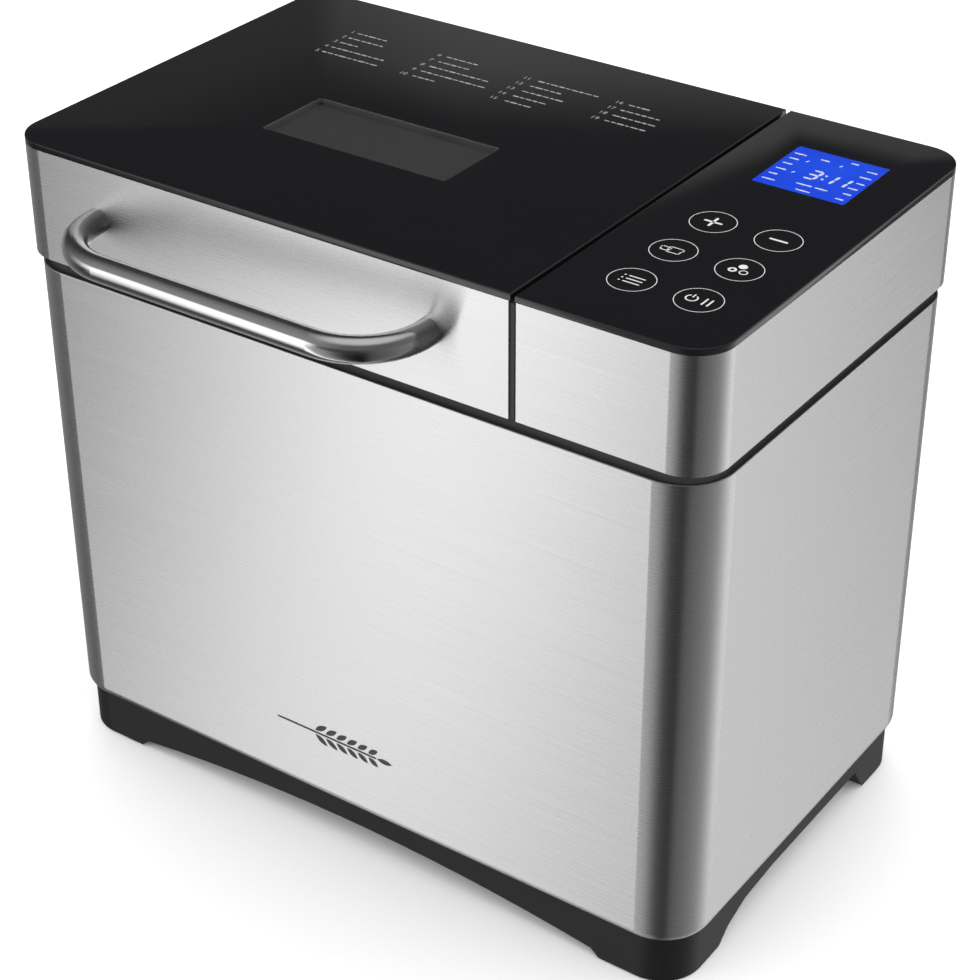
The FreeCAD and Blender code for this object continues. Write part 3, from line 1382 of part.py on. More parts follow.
SUB_PARTS = (
    steel_wrap, base, rubber_feet, cord_gland, top_frame, chamber, chamber_screws, heater_element,
    heater_clips, heater_bushes, thermistor, thermal_fuse, pan_socket, pan_clips, bread_pan, pan_foot,
    pan_ears, ear_rivets, pan_bush, shaft_seal, bail, pan_shaft, pan_coupling, paddle, drive_coupling,
    drive_shaft, large_pulley, drive_housing, drive_bushes, belt, motor_can, motor_shaft, motor_pulley,
    motor_bracket, motor_screws, panel_skirt, panel_frame, panel_glass, touch_board, display_module,
    touch_springs, board_carrier, power_board, capacitor, relay, lid_skirt, lid_frame, lid_glass,
    lid_liner, window_gasket, window_pane, hinge_ears, hinge_pins, handle, handle_screws,
)


def check_document():
    """Stop if any feature failed or any sub-part has no valid solid."""
    for item in DOC.Objects:
        if {"Invalid", "Error"} & set(item.State):
            raise RuntimeError(f"{item.Label} failed: {item.State}")
    for node in NODES:
        if node.Shape.isNull() or not node.Shape.isValid() or not node.Shape.Solids:
            raise RuntimeError(f"{node.Label} has no valid solid")


def export_nodes():
    os.makedirs("parts", exist_ok=True)
    for node in NODES:
        node.Shape.exportStep(f"parts/{node.Label}.step")
        print(f"{node.Label}: {len(node.Shape.Solids)} solid(s), {node.Shape.Volume:.0f} mm3")


fill_sheet()
for make in SUB_PARTS:
    make()
DOC.recompute()
check_document()
export_nodes()
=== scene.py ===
import json
import math

import bmesh
import bpy
from mathutils import Matrix, Vector


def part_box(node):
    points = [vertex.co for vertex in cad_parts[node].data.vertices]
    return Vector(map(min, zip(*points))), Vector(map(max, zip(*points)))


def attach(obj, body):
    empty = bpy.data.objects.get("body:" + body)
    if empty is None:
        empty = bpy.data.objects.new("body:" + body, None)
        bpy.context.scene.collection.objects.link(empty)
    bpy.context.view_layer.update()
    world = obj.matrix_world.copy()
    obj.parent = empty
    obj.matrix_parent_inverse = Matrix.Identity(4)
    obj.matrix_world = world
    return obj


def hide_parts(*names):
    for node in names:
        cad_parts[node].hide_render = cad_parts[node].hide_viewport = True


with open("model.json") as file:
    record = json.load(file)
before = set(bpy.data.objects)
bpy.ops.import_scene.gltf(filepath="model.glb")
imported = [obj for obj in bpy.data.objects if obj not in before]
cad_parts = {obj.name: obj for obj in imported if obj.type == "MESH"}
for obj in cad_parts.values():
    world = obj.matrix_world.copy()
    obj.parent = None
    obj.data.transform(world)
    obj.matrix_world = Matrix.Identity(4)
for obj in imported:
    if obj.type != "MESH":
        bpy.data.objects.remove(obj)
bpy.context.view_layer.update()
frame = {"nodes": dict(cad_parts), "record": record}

# The looks of a bread machine. Metres, in the same frame as the CAD: +X right, +Y back, +Z up.

MM = 0.001
CORNER_STEPS = 16           # flat steps in each round corner of a swept shell
PRINT_RISE = 0.05 * MM      # how far printed marks stand above the glass


def box(node):
    """Lowest and highest corner of a CAD node."""
    low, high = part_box(node)
    return Vector(low), Vector(high)


WRAP_LOW, WRAP_HIGH = box("lower_housing")
GLASS_LOW, GLASS_HIGH = box("lid_glass")
PANEL_LOW, PANEL_HIGH = box("panel_glass")
SIDE_LOW = box("panel_skirt")[0]
MIDDLE_Y = (GLASS_LOW.y + GLASS_HIGH.y) / 2
FRONT = GLASS_LOW.y
RIGHT = PANEL_HIGH.x
CORNER = 18 * MM            # plan corners of the lid and the panel
HOUSING_CORNER = 24 * MM    # plan corners of the steel wrap
BAND_INSET = 2.5 * MM       # from the wrap's face in to the grey band's face
SWING_ROOM = 8.5 * MM       # from the hinge's middle forward to the end of the painted shadow strip
WINDOW_DEPTH = 1.2 * MM     # thickness of the cover over the window
DISPLAY_DEPTH = 0.5 * MM    # thickness of the cover over the display
RECESS_DEPTH = 4.6 * MM     # foot of the window's frame, under the top of the glass
FLOOR_HALF = 6.0            # half the width of the floor, in metres
GLASS_TOP = GLASS_HIGH.z - PRINT_RISE


# ---- shader node helpers ----

def new_material(name):
    """Empty node material with its output and Principled shader."""
    material = bpy.data.materials.new(name)
    material.use_nodes = True
    tree = material.node_tree
    tree.nodes.clear()
    shader = tree.nodes.new("ShaderNodeBsdfPrincipled")
    output = tree.nodes.new("ShaderNodeOutputMaterial")
    output.location = (300, 0)
    tree.links.new(shader.outputs["BSDF"], output.inputs["Surface"])
    return material, tree, shader


def node(tree, kind, settings=None, **inputs):
    """Node with its settings, and each input either a number, a colour or another node's output."""
    made = tree.nodes.new("ShaderNode" + kind)
    for name, value in (settings or {}).items():
        setattr(made, name, value)
    for name, value in inputs.items():
        wire(tree, made, name.replace("_", " "), value)
    return made


def wire(tree, made, name, value):
    """Link an output to an input, or set the input's value."""
    socket = made.inputs[int(name)] if name.isdigit() else made.inputs[name]
    if isinstance(value, bpy.types.NodeSocket):
        tree.links.new(value, socket)
    else:
        socket.default_value = value


def maths(tree, operation, first, second=0.0, third=0.0):
    """Result of one math node."""
    made = tree.nodes.new("ShaderNodeMath")
    made.operation = operation
    for index, value in enumerate((first, second, third)):
        wire(tree, made, str(index), value)
    return made.outputs[0]


def mixed(tree, factor, first, second):
    """Colour between two colours."""
    made = tree.nodes.new("ShaderNodeMix")
    made.data_type = "RGBA"
    wire(tree, made, "0", factor)
    wire(tree, made, "6", first)
    wire(tree, made, "7", second)
    return made.outputs[2]


def ramp(tree, value, stops):
    """Colour ramp through stops of (place, grey)."""
    made = tree.nodes.new("ShaderNodeValToRGB")
    made.color_ramp.interpolation = "LINEAR"
    while len(made.color_ramp.elements) < len(stops):
        made.color_ramp.elements.new(0.5)
    for element, (place, grey) in zip(made.color_ramp.elements, stops):
        element.position = place
        element.color = (grey, grey, grey, 1)
    tree.links.new(value, made.inputs["Fac"])
    return made.outputs["Color"]


def scaled_place(tree, scale):
    """Object coordinates stretched by a scale along each axis."""
    place = node(tree, "TexCoord").outputs["Object"]
    return node(tree, "Mapping", Vector=place, Scale=scale).outputs["Vector"]


def noise(tree, place, scale, detail=2.0, rough=0.5):
    """Value of one noise texture."""
    made = node(tree, "TexNoise", Vector=place, Scale=scale, Detail=detail, Roughness=rough)
    return made.outputs["Fac"]


# ---- shader node groups ----

def new_group(name, inputs, outputs):
    """Shader group with named number inputs and typed outputs."""
    group = bpy.data.node_groups.new(name, "ShaderNodeTree")
    for label, kind, value in inputs:
        socket = group.interface.new_socket(label, in_out="INPUT", socket_type="NodeSocket" + kind)
        socket.default_value = value
    for label, kind in outputs:
        group.interface.new_socket(label, in_out="OUTPUT", socket_type="NodeSocket" + kind)
    entry = group.nodes.new("NodeGroupInput")
    leave = group.nodes.new("NodeGroupOutput")
    return group, entry, leave


def brushed_grain_group():
    """Long level scratches: a value for roughness and tone, and a height for bump."""
    group, entry, leave = new_group(
        "brushed_grain",
        [("Fineness", "Float", 1.0), ("Depth", "Float", 1.0)],
        [("Streak", "Float"), ("Height", "Float")])
    fine = noise(group, scaled_place(group, (12, 12, 4200)), 1.0, 3.0, 0.6)
    broad = noise(group, scaled_place(group, (4, 4, 420)), 1.0, 2.0, 0.5)
    cloud = noise(group, scaled_place(group, (7, 7, 7)), 1.0, 2.0, 0.5)
    sharp = maths(group, "MULTIPLY", fine, entry.outputs["Fineness"])
    streak = maths(group, "MULTIPLY_ADD", broad, 0.15, sharp)
    streak = maths(group, "MULTIPLY_ADD", cloud, 0.15, streak)
    group.links.new(streak, leave.inputs["Streak"])
    group.links.new(maths(group, "MULTIPLY", fine, entry.outputs["Depth"]), leave.inputs["Height"])
    return group


def moulded_grain_group():
    """Fine pebbled skin of moulded plastic and rubber, with slight changes of tone."""
    group, entry, leave = new_group(
        "moulded_grain",
        [("Size", "Float", 1800.0)],
        [("Tone", "Float"), ("Height", "Float")])
    place = node(group, "TexCoord").outputs["Object"]
    cells = node(group, "TexVoronoi", Vector=place, Scale=entry.outputs["Size"]).outputs["Distance"]
    cloud = noise(group, place, 40.0, 4.0, 0.6)
    speck = noise(group, place, 900.0, 2.0, 0.5)
    group.links.new(maths(group, "MULTIPLY_ADD", speck, 0.3, cloud), leave.inputs["Tone"])
    group.links.new(maths(group, "MULTIPLY_ADD", speck, 0.5, cells), leave.inputs["Height"])
    return group


def edge_wear_group():
    """Mask that is high on outer edges, broken up by noise."""
    group, entry, leave = new_group(
        "edge_wear",
        [("Amount", "Float", 1.0)],
        [("Mask", "Float")])
    point = node(group, "NewGeometry").outputs["Pointiness"]
    edge = node(group, "MapRange", Value=point, From_Min=0.52, From_Max=0.6).outputs["Result"]
    place = node(group, "TexCoord").outputs["Object"]
    patch = node(group, "MapRange", Value=noise(group, place, 120.0, 4.0, 0.7), From_Min=0.35,
                 From_Max=0.7).outputs["Result"]
    mask = maths(group, "MULTIPLY", edge, patch)
    group.links.new(maths(group, "MULTIPLY", mask, entry.outputs["Amount"]), leave.inputs["Mask"])
    return group


def handling_group():
    """Faint smears and dust on glossy faces."""
    group, entry, leave = new_group(
        "handling_marks",
        [("Smear", "Float", 1.0), ("Dust", "Float", 1.0)],
        [("Smear Mask", "Float"), ("Dust Mask", "Float")])
    place = node(group, "TexCoord").outputs["Object"]
    smear = noise(group, place, 26.0, 5.0, 0.65)
    smear = node(group, "MapRange", Value=smear, From_Min=0.45, From_Max=0.8).outputs["Result"]
    dust = noise(group, place, 2400.0, 1.0, 0.5)
    dust = node(group, "MapRange", Value=dust, From_Min=0.74, From_Max=0.82).outputs["Result"]
    group.links.new(maths(group, "MULTIPLY", smear, entry.outputs["Smear"]), leave.inputs["Smear Mask"])
    group.links.new(maths(group, "MULTIPLY", dust, entry.outputs["Dust"]), leave.inputs["Dust Mask"])
    return group


GRAIN = brushed_grain_group()
PEBBLE = moulded_grain_group()
WEAR = edge_wear_group()
MARKS = handling_group()


def use_group(tree, group, **inputs):
    """Copy of a node group in a material, with its inputs set."""
    made = tree.nodes.new("ShaderNodeGroup")
    made.node_tree = group
    for name, value in inputs.items():
        made.inputs[name].default_value = value
    return made


def bump(tree, shader, height, strength, distance):
    """Give a shader a bump from a height."""
    made = node(tree, "Bump", Height=height, Strength=strength, Distance=distance)
    tree.links.new(made.outputs["Normal"], shader.inputs["Normal"])


# ---- materials ----

def brushed_steel(name, tone=(0.67, 0.67, 0.675), rough=0.27, stretch=1.0, depth=0.035):
    """Stainless sheet brushed level, so that reflections smear up and down."""
    material, tree, shader = new_material(name)
    grain = use_group(tree, GRAIN, Fineness=0.7, Depth=1.0)
    streak = node(tree, "MapRange", Value=grain.outputs["Streak"], From_Min=0.25,
                  From_Max=0.75).outputs["Result"]
    dark = tuple(part * 0.965 for part in tone) + (1,)
    light = tuple(part * 1.035 for part in tone) + (1,)
    tree.links.new(mixed(tree, streak, dark, light), shader.inputs["Base Color"])
    shader.inputs["Metallic"].default_value = 1.0
    tree.links.new(maths(tree, "MULTIPLY_ADD", streak, 0.08, rough - 0.04), shader.inputs["Roughness"])
    shader.inputs["Anisotropic"].default_value = stretch
    shader.inputs["Anisotropic Rotation"].default_value = 0.25
    tangent = node(tree, "Tangent", {"direction_type": "RADIAL", "axis": "Z"})
    tree.links.new(tangent.outputs["Tangent"], shader.inputs["Tangent"])
    bump(tree, shader, grain.outputs["Height"], depth, 0.02 * MM)
    return material


def polished_steel(name, tone=(0.63, 0.63, 0.635), rough=0.16):
    """Drawn tube or wire with a soft polish."""
    material, tree, shader = new_material(name)
    place = node(tree, "TexCoord").outputs["Object"]
    draw = noise(tree, place, 700.0, 3.0, 0.6)
    cloud = noise(tree, place, 60.0, 3.0, 0.5)
    dark = tuple(part * 0.94 for part in tone) + (1,)
    light = tuple(part * 1.05 for part in tone) + (1,)
    tree.links.new(mixed(tree, cloud, dark, light), shader.inputs["Base Color"])
    shader.inputs["Metallic"].default_value = 1.0
    tree.links.new(maths(tree, "MULTIPLY_ADD", draw, 0.08, rough - 0.04), shader.inputs["Roughness"])
    bump(tree, shader, draw, 0.1, 0.01 * MM)
    return material


def sheet_metal(name, tone, rough, metallic=1.0):
    """Plain plated or coated sheet with cloudy tone and worn edges."""
    material, tree, shader = new_material(name)
    place = node(tree, "TexCoord").outputs["Object"]
    cloud = noise(tree, place, 55.0, 5.0, 0.65)
    speck = noise(tree, place, 1100.0, 2.0, 0.5)
    wear = use_group(tree, WEAR, Amount=0.7).outputs["Mask"]
    dark = tuple(part * 0.82 for part in tone) + (1,)
    light = tuple(min(1.0, part * 1.1) for part in tone) + (1,)
    bright = tuple(min(1.0, part * 1.4) for part in tone) + (1,)
    colour = mixed(tree, wear, mixed(tree, cloud, dark, light), bright)
    tree.links.new(colour, shader.inputs["Base Color"])
    shader.inputs["Metallic"].default_value = metallic
    tree.links.new(maths(tree, "MULTIPLY_ADD", cloud, 0.18, rough - 0.09), shader.inputs["Roughness"])
    bump(tree, shader, speck, 0.15, 0.03 * MM)
    return material


def non_stick(name):
    """Dark coating with fine pale specks and a slight orange-peel skin."""
    material, tree, shader = new_material(name)
    place = node(tree, "TexCoord").outputs["Object"]
    speck = node(tree, "MapRange", Value=noise(tree, place, 1500.0, 1.0, 0.4), From_Min=0.68,
                 From_Max=0.76).outputs["Result"]
    peel = noise(tree, place, 420.0, 2.0, 0.5)
    cloud = noise(tree, place, 30.0, 4.0, 0.6)
    skin = mixed(tree, cloud, (0.028, 0.028, 0.030, 1), (0.045, 0.045, 0.047, 1))
    tree.links.new(mixed(tree, speck, skin, (0.16, 0.16, 0.165, 1)), shader.inputs["Base Color"])
    shader.inputs["Metallic"].default_value = 0.35
    tree.links.new(maths(tree, "MULTIPLY_ADD", cloud, 0.15, 0.30), shader.inputs["Roughness"])
    bump(tree, shader, peel, 0.25, 0.05 * MM)
    return material


def moulded(name, tone, rough, size=1800.0, depth=0.35, wear_tone=None, shine=0.5):
    """Moulded plastic or rubber with a pebbled skin and slightly polished edges."""
    material, tree, shader = new_material(name)
    grain = use_group(tree, PEBBLE, Size=size)
    wear = use_group(tree, WEAR, Amount=0.6).outputs["Mask"]
    dark = tuple(part * 0.85 for part in tone) + (1,)
    light = tuple(part * 1.2 for part in tone) + (1,)
    rubbed = (wear_tone or tuple(part * 1.6 for part in tone)) + (1,)
    colour = mixed(tree, wear, mixed(tree, grain.outputs["Tone"], dark, light), rubbed)
    tree.links.new(colour, shader.inputs["Base Color"])
    tree.links.new(maths(tree, "MULTIPLY_ADD", grain.outputs["Tone"], 0.12, rough - 0.07),
                   shader.inputs["Roughness"])
    shader.inputs["Specular IOR Level"].default_value = shine
    bump(tree, shader, grain.outputs["Height"], depth, 0.04 * MM)
    return material


def black_glass(name):
    """Glass printed black from behind, with faint smears."""
    material, tree, shader = new_material(name)
    marks = use_group(tree, MARKS, Smear=0.5, Dust=0.35)
    ink = mixed(tree, marks.outputs["Dust Mask"], (0.0065, 0.0065, 0.0075, 1), (0.08, 0.08, 0.08, 1))
    tree.links.new(ink, shader.inputs["Base Color"])
    tree.links.new(maths(tree, "MULTIPLY_ADD", marks.outputs["Smear Mask"], 0.10, 0.06),
                   shader.inputs["Roughness"])
    shader.inputs["IOR"].default_value = 1.5
    wave = noise(tree, node(tree, "TexCoord").outputs["Object"], 18.0, 1.0, 0.4)
    bump(tree, shader, wave, 0.02, 0.1 * MM)
    return material


def clear_glass(name, tint, rough):
    """Tinted glass that is seen through."""
    material, tree, shader = new_material(name)
    marks = use_group(tree, MARKS, Smear=0.6, Dust=0.2)
    dusty = mixed(tree, marks.outputs["Dust Mask"], tint + (1,), (0.6, 0.6, 0.6, 1))
    tree.links.new(dusty, shader.inputs["Base Color"])
    shader.inputs["Transmission Weight"].default_value = 1.0
    tree.links.new(maths(tree, "MULTIPLY_ADD", marks.outputs["Smear Mask"], 0.08, rough),
                   shader.inputs["Roughness"])
    shader.inputs["IOR"].default_value = 1.5
    return material


def printed_ink(name, tone):
    """Thin screen print with slightly uneven cover."""
    material, tree, shader = new_material(name)
    place = node(tree, "TexCoord").outputs["Object"]
    cover = noise(tree, place, 2500.0, 2.0, 0.5)
    dark = tuple(part * 0.85 for part in tone) + (1,)
    tree.links.new(mixed(tree, cover, dark, tone + (1,)), shader.inputs["Base Color"])
    tree.links.new(maths(tree, "MULTIPLY_ADD", cover, 0.2, 0.35), shader.inputs["Roughness"])
    bump(tree, shader, cover, 0.2, 0.01 * MM)
    return material


def lit(name, low, high, strength, size=30.0):
    """Backlit face whose glow changes a little over its area."""
    material, tree, shader = new_material(name)
    place = node(tree, "TexCoord").outputs["Object"]
    cloud = noise(tree, place, size, 1.0, 0.4)
    tree.links.new(mixed(tree, cloud, low + (1,), high + (1,)), shader.inputs["Emission Color"])
    dim = tuple(part * 0.05 for part in low) + (1,)
    tree.links.new(mixed(tree, cloud, dim, (0.01, 0.01, 0.02, 1)), shader.inputs["Base Color"])
    shader.inputs["Emission Strength"].default_value = strength
    shader.inputs["Roughness"].default_value = 0.3
    return material


def circuit_board(name):
    """Green laminate with faint tracks."""
    material, tree, shader = new_material(name)
    place = node(tree, "TexCoord").outputs["Object"]
    tracks = node(tree, "TexBrick", Vector=place, Scale=90.0, Mortar_Size=0.03).outputs["Fac"]
    cloud = noise(tree, place, 200.0, 2.0, 0.5)
    mask = mixed(tree, cloud, (0.012, 0.12, 0.045, 1), (0.02, 0.17, 0.065, 1))
    tree.links.new(mixed(tree, tracks, mask, (0.05, 0.28, 0.10, 1)), shader.inputs["Base Color"])
    tree.links.new(maths(tree, "MULTIPLY_ADD", cloud, 0.2, 0.25), shader.inputs["Roughness"])
    bump(tree, shader, tracks, 0.3, 0.05 * MM)
    return material


def studio_floor(name):
    """Plain pale paper sweep with a barely visible tooth."""
    material, tree, shader = new_material(name)
    place = node(tree, "TexCoord").outputs["Object"]
    tooth = noise(tree, place, 300.0, 2.0, 0.5)
    tree.links.new(mixed(tree, tooth, (0.90, 0.90, 0.90, 1), (0.92, 0.92, 0.92, 1)),
                   shader.inputs["Base Color"])
    shader.inputs["Roughness"].default_value = 0.9
    shader.inputs["Specular IOR Level"].default_value = 0.1
    return material


STEEL = brushed_steel("brushed_wrap")
TUBE = polished_steel("polished_tube")
ZINC = sheet_metal("zinc_plate", (0.55, 0.56, 0.58), 0.35)
CHAMBER = sheet_metal("aluminised_sheet", (0.56, 0.56, 0.57), 0.42)
CAST = sheet_metal("cast_aluminium", (0.50, 0.50, 0.51), 0.5)
BRONZE = sheet_metal("sintered_bronze", (0.55, 0.36, 0.17), 0.5)
SHEATH = sheet_metal("heater_sheath", (0.11, 0.10, 0.095), 0.55, 0.6)
NON_STICK = non_stick("non_stick_coating")
BLACK = moulded("black_plastic", (0.007, 0.007, 0.0074), 0.45, shine=0.28)
GREY = moulded("grey_plastic", (0.026, 0.026, 0.028), 0.5, shine=0.35)
RUBBER = moulded("foot_rubber", (0.020, 0.020, 0.020), 0.75, 1200.0, 0.6)
SILICONE = moulded("red_silicone", (0.35, 0.07, 0.045), 0.5, 1500.0, 0.3)
CERAMIC = moulded("ceramic_bush", (0.62, 0.60, 0.55), 0.6, 900.0, 0.4, (0.7, 0.68, 0.62))
SLEEVE = moulded("capacitor_sleeve", (0.02, 0.03, 0.12), 0.3, 2500.0, 0.1)
GLASS = black_glass("printed_glass")
WINDOW = clear_glass("window_glass", (0.88, 0.88, 0.89), 0.02)
PANE = clear_glass("pane_glass", (0.80, 0.84, 0.83), 0.02)
INK = printed_ink("light_ink", (0.62, 0.62, 0.62))
DARK_INK = printed_ink("dark_ink", (0.035, 0.035, 0.037))
BOARD = circuit_board("circuit_board")

SLOT_LOOKS = {
    "brushed_wrap": STEEL, "polished_tube": TUBE, "black_plastic": BLACK, "grey_plastic": GREY,
    "rubber": RUBBER, "black_glass": GLASS, "clear_glass": PANE, "chamber_sheet": CHAMBER,
    "cast_aluminium": CAST, "zinc_steel": ZINC, "heater_sheath": SHEATH, "ceramic": CERAMIC,
    "bronze": BRONZE, "silicone": SILICONE, "nonstick": NON_STICK, "circuit_board": BOARD,
    "display": GLASS, "capacitor_sleeve": SLEEVE,
}


def dress_frame():
    """Give every CAD node the material of its slot."""
    for part in frame["record"]["subparts"]:
        item = frame["nodes"][part["node"]]
        item.data.materials.clear()
        item.data.materials.append(SLOT_LOOKS[part["material_slot"]])


dress_frame()


# ---- geometry helpers ----

def new_object(name, mesh, material, body, smooth=True):
    """Object of a finished mesh that moves with a CAD body."""
    item = bpy.data.objects.new(name, mesh)
    bpy.context.scene.collection.objects.link(item)
    if material is not None:
        mesh.materials.append(material)
    if smooth:
        mesh.shade_smooth()
    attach(item, body)
    return item


def round_rectangle(low, high, radii, steps=CORNER_STEPS):
    """Points round a rectangle, counter-clockwise from the front left, with a radius for each corner."""
    points = []
    centres = ((low.x, low.y, 1, 1, 180), (high.x, low.y, -1, 1, 270),
               (high.x, high.y, -1, -1, 0), (low.x, high.y, 1, -1, 90))
    for (x, y, across, along, start), radius in zip(centres, radii):
        if radius <= 0:
            points.append(Vector((x, y)))
            continue
        middle = Vector((x + across * radius, y + along * radius))
        for step in range(steps + 1):
            angle = math.radians(start + 90 * step / steps)
            points.append(middle + Vector((math.cos(angle), math.sin(angle))) * radius)
    return points


def outline_at(low, high, radii, inset):
    """Round rectangle moved inwards, with corner radii that shrink with it."""
    shift = Vector((inset, inset))
    return round_rectangle(Vector(low) + shift, Vector(high) - shift,
                           [max(radius - inset, 0) if radius else 0 for radius in radii])


def swept(name, low, high, radii, profile, closed_top=False, closed_bottom=False):
    """Mesh that carries a profile of (inset, height) round a rectangle."""
    mesh = bpy.data.meshes.new(name)
    shape = bmesh.new()
    rings = []
    for inset, height in profile:
        points = outline_at(low, high, radii, inset)
        rings.append([shape.verts.new((point.x, point.y, height)) for point in points])
    count = len(rings[0])
    for below, above in zip(rings, rings[1:]):
        for index in range(count):
            after = (index + 1) % count
            shape.faces.new((below[index], below[after], above[after], above[index]))
    if closed_top:
        shape.faces.new(rings[-1])
    if closed_bottom:
        shape.faces.new(list(reversed(rings[0])))
    shape.normal_update()
    shape.to_mesh(mesh)
    shape.free()
    return mesh


def bevel(item, width, steps=2, angle=30):
    """Bevel on the sharp edges, with the flat faces kept flat."""
    made = item.modifiers.new("edge_bevel", "BEVEL")
    made.width = width
    made.segments = steps
    made.limit_method = "ANGLE"
    made.angle_limit = math.radians(angle)
    made.harden_normals = True
    return made


def joined(meshes, name):
    """One mesh from several."""
    shape = bmesh.new()
    for mesh in meshes:
        shape.from_mesh(mesh)
    result = bpy.data.meshes.new(name)
    shape.to_mesh(result)
    shape.free()
    return result


def ring_shape(x, y, inner, outer, height, steps=64, start=0.0, sweep=360.0):
    """Flat ring, or part of one, at a height."""
    mesh = bpy.data.meshes.new("ring")
    shape = bmesh.new()
    whole = sweep >= 360
    spots = []
    for step in range(steps + (0 if whole else 1)):
        angle = math.radians(start + sweep * step / steps)
        heading = Vector((math.cos(angle), math.sin(angle), 0))
        middle = Vector((x, y, height))
        spots.append((shape.verts.new(middle + heading * inner), shape.verts.new(middle + heading * outer)))
    pairs = list(zip(spots, spots[1:])) + ([(spots[-1], spots[0])] if whole else [])
    for before, after in pairs:
        shape.faces.new((before[0], before[1], after[1], after[0]))
    shape.to_mesh(mesh)
    shape.free()
    return mesh


def stroke(x0, y0, x1, y1, width, height):
    """Flat line between two plan points, with round ends."""
    start, end = Vector((x0, y0)), Vector((x1, y1))
    along = (end - start).normalized() if (end - start).length > 0 else Vector((1, 0))
    heading = math.atan2(along.y, along.x)
    points = []
    for middle, turn in ((end, -90), (start, 90)):
        for step in range(7):
            angle = heading + math.radians(turn + 30 * step)
            points.append(middle + Vector((math.cos(angle), math.sin(angle))) * width / 2)
    mesh = bpy.data.meshes.new("stroke")
    shape = bmesh.new()
    shape.faces.new([shape.verts.new((point.x, point.y, height)) for point in points])
    shape.to_mesh(mesh)
    shape.free()
    return mesh


# ---- glass tops ----

WINDOW_LOW, WINDOW_HIGH = box("window_pane")
PANE_MARGIN = 4 * MM
WINDOW_PLAN = (Vector((WINDOW_LOW.x + PANE_MARGIN, WINDOW_LOW.y + PANE_MARGIN)),
               Vector((WINDOW_HIGH.x - PANE_MARGIN, WINDOW_HIGH.y - PANE_MARGIN)))
DISPLAY_LOW, DISPLAY_HIGH = box("display_module")
DISPLAY_PLAN = (Vector((DISPLAY_LOW.x, DISPLAY_LOW.y)), Vector((DISPLAY_HIGH.x, DISPLAY_HIGH.y)))
WINDOW_CORNER, DISPLAY_CORNER = 1.2 * MM, 0.8 * MM


def holed_slab(name, low, high, radii, hole, hole_radius, bottom, top, edge):
    """Glass slab with a round outer edge and a square-cut hole."""
    mesh = bpy.data.meshes.new(name)
    shape = bmesh.new()
    profile = [(0.2 * MM, bottom), (0, bottom + 0.2 * MM)]
    for step in range(5):
        angle = math.radians(90 * step / 4)
        profile.append((edge * (1 - math.cos(angle)), top - edge * (1 - math.sin(angle))))
    rings = []
    for inset, height in profile:
        rings.append([shape.verts.new((spot.x, spot.y, height))
                      for spot in outline_at(low, high, radii, inset)])
    hole_spots = round_rectangle(hole[0], hole[1], [hole_radius] * 4, 6)
    walls = [[shape.verts.new((spot.x, spot.y, height)) for spot in hole_spots] for height in (bottom, top)]
    for below, above in [*zip(rings, rings[1:]), (walls[1], walls[0])]:
        for index in range(len(below)):
            after = (index + 1) % len(below)
            shape.faces.new((below[index], below[after], above[after], above[index]))
    for outer, inner in ((rings[-1], walls[1]), (rings[0], walls[0])):
        edges = []
        for loop in (outer, inner):
            for index in range(len(loop)):
                pair = (loop[index], loop[(index + 1) % len(loop)])
                edges.append(shape.edges.get(pair) or shape.edges.new(pair))
        bmesh.ops.triangle_fill(shape, use_beauty=True, use_dissolve=False, edges=edges)
    bmesh.ops.recalc_face_normals(shape, faces=shape.faces)
    shape.to_mesh(mesh)
    shape.free()
    mesh.set_sharp_from_angle(angle=math.radians(35))
    return mesh


def plate_mesh(name, plan, radius, inset, bottom, top, edge=0.12 * MM):
    """Closed slab with a small chamfer all round."""
    profile = [(inset + edge, bottom), (inset, bottom + edge), (inset, top - edge), (inset + edge, top)]
    mesh = swept(name, plan[0], plan[1], [radius] * 4, profile, True, True)
    mesh.set_sharp_from_angle(angle=math.radians(35))
    return mesh


def glass_tops():
    """Black glass of the lid and the panel, each with its see-through field."""
    edge = 0.7 * MM
    lid = holed_slab("lid_glass_print", GLASS_LOW.xy, GLASS_HIGH.xy, (CORNER, 0, 0, CORNER), WINDOW_PLAN,
                     WINDOW_CORNER, GLASS_LOW.z, GLASS_TOP, edge)
    lid = new_object("lid_glass_print", lid, GLASS, "lid")
    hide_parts("lid_glass")
    panel = holed_slab("panel_glass_print", PANEL_LOW.xy, PANEL_HIGH.xy, (0, CORNER, CORNER, 0),
                       DISPLAY_PLAN, DISPLAY_CORNER, PANEL_LOW.z, GLASS_TOP, edge)
    panel = new_object("panel_glass_print", panel, GLASS, "root")
    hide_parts("panel_glass")
    gap = 0.03 * MM
    cover = plate_mesh("window_cover", WINDOW_PLAN, WINDOW_CORNER, gap, GLASS_TOP - WINDOW_DEPTH, GLASS_TOP)
    new_object("window_cover", cover, WINDOW, "lid")
    cover = plate_mesh("display_cover", DISPLAY_PLAN, DISPLAY_CORNER, gap, GLASS_TOP - DISPLAY_DEPTH,
                       GLASS_TOP)
    new_object("display_cover", cover, COVER, "root")


def window_recess():
    """Shallow frame under the lid's window, with a smoked pane at its foot."""
    top, foot = GLASS_TOP - 1.25 * MM, GLASS_TOP - RECESS_DEPTH
    profile = [(-1.2 * MM, top), (-1.2 * MM, foot), (0.1 * MM, foot), (0.1 * MM, top)]
    mesh = swept("window_frame", *WINDOW_PLAN, [WINDOW_CORNER] * 4, profile + profile[:1])
    item = new_object("window_frame", mesh, FRAME_GREY, "lid", smooth=False)
    bevel(item, 0.15 * MM)
    pane = plate_mesh("window_smoke", WINDOW_PLAN, WINDOW_CORNER, 0.15 * MM, foot, foot + 0.6 * MM)
    new_object("window_smoke", pane, SMOKE, "lid")


# ---- display ----

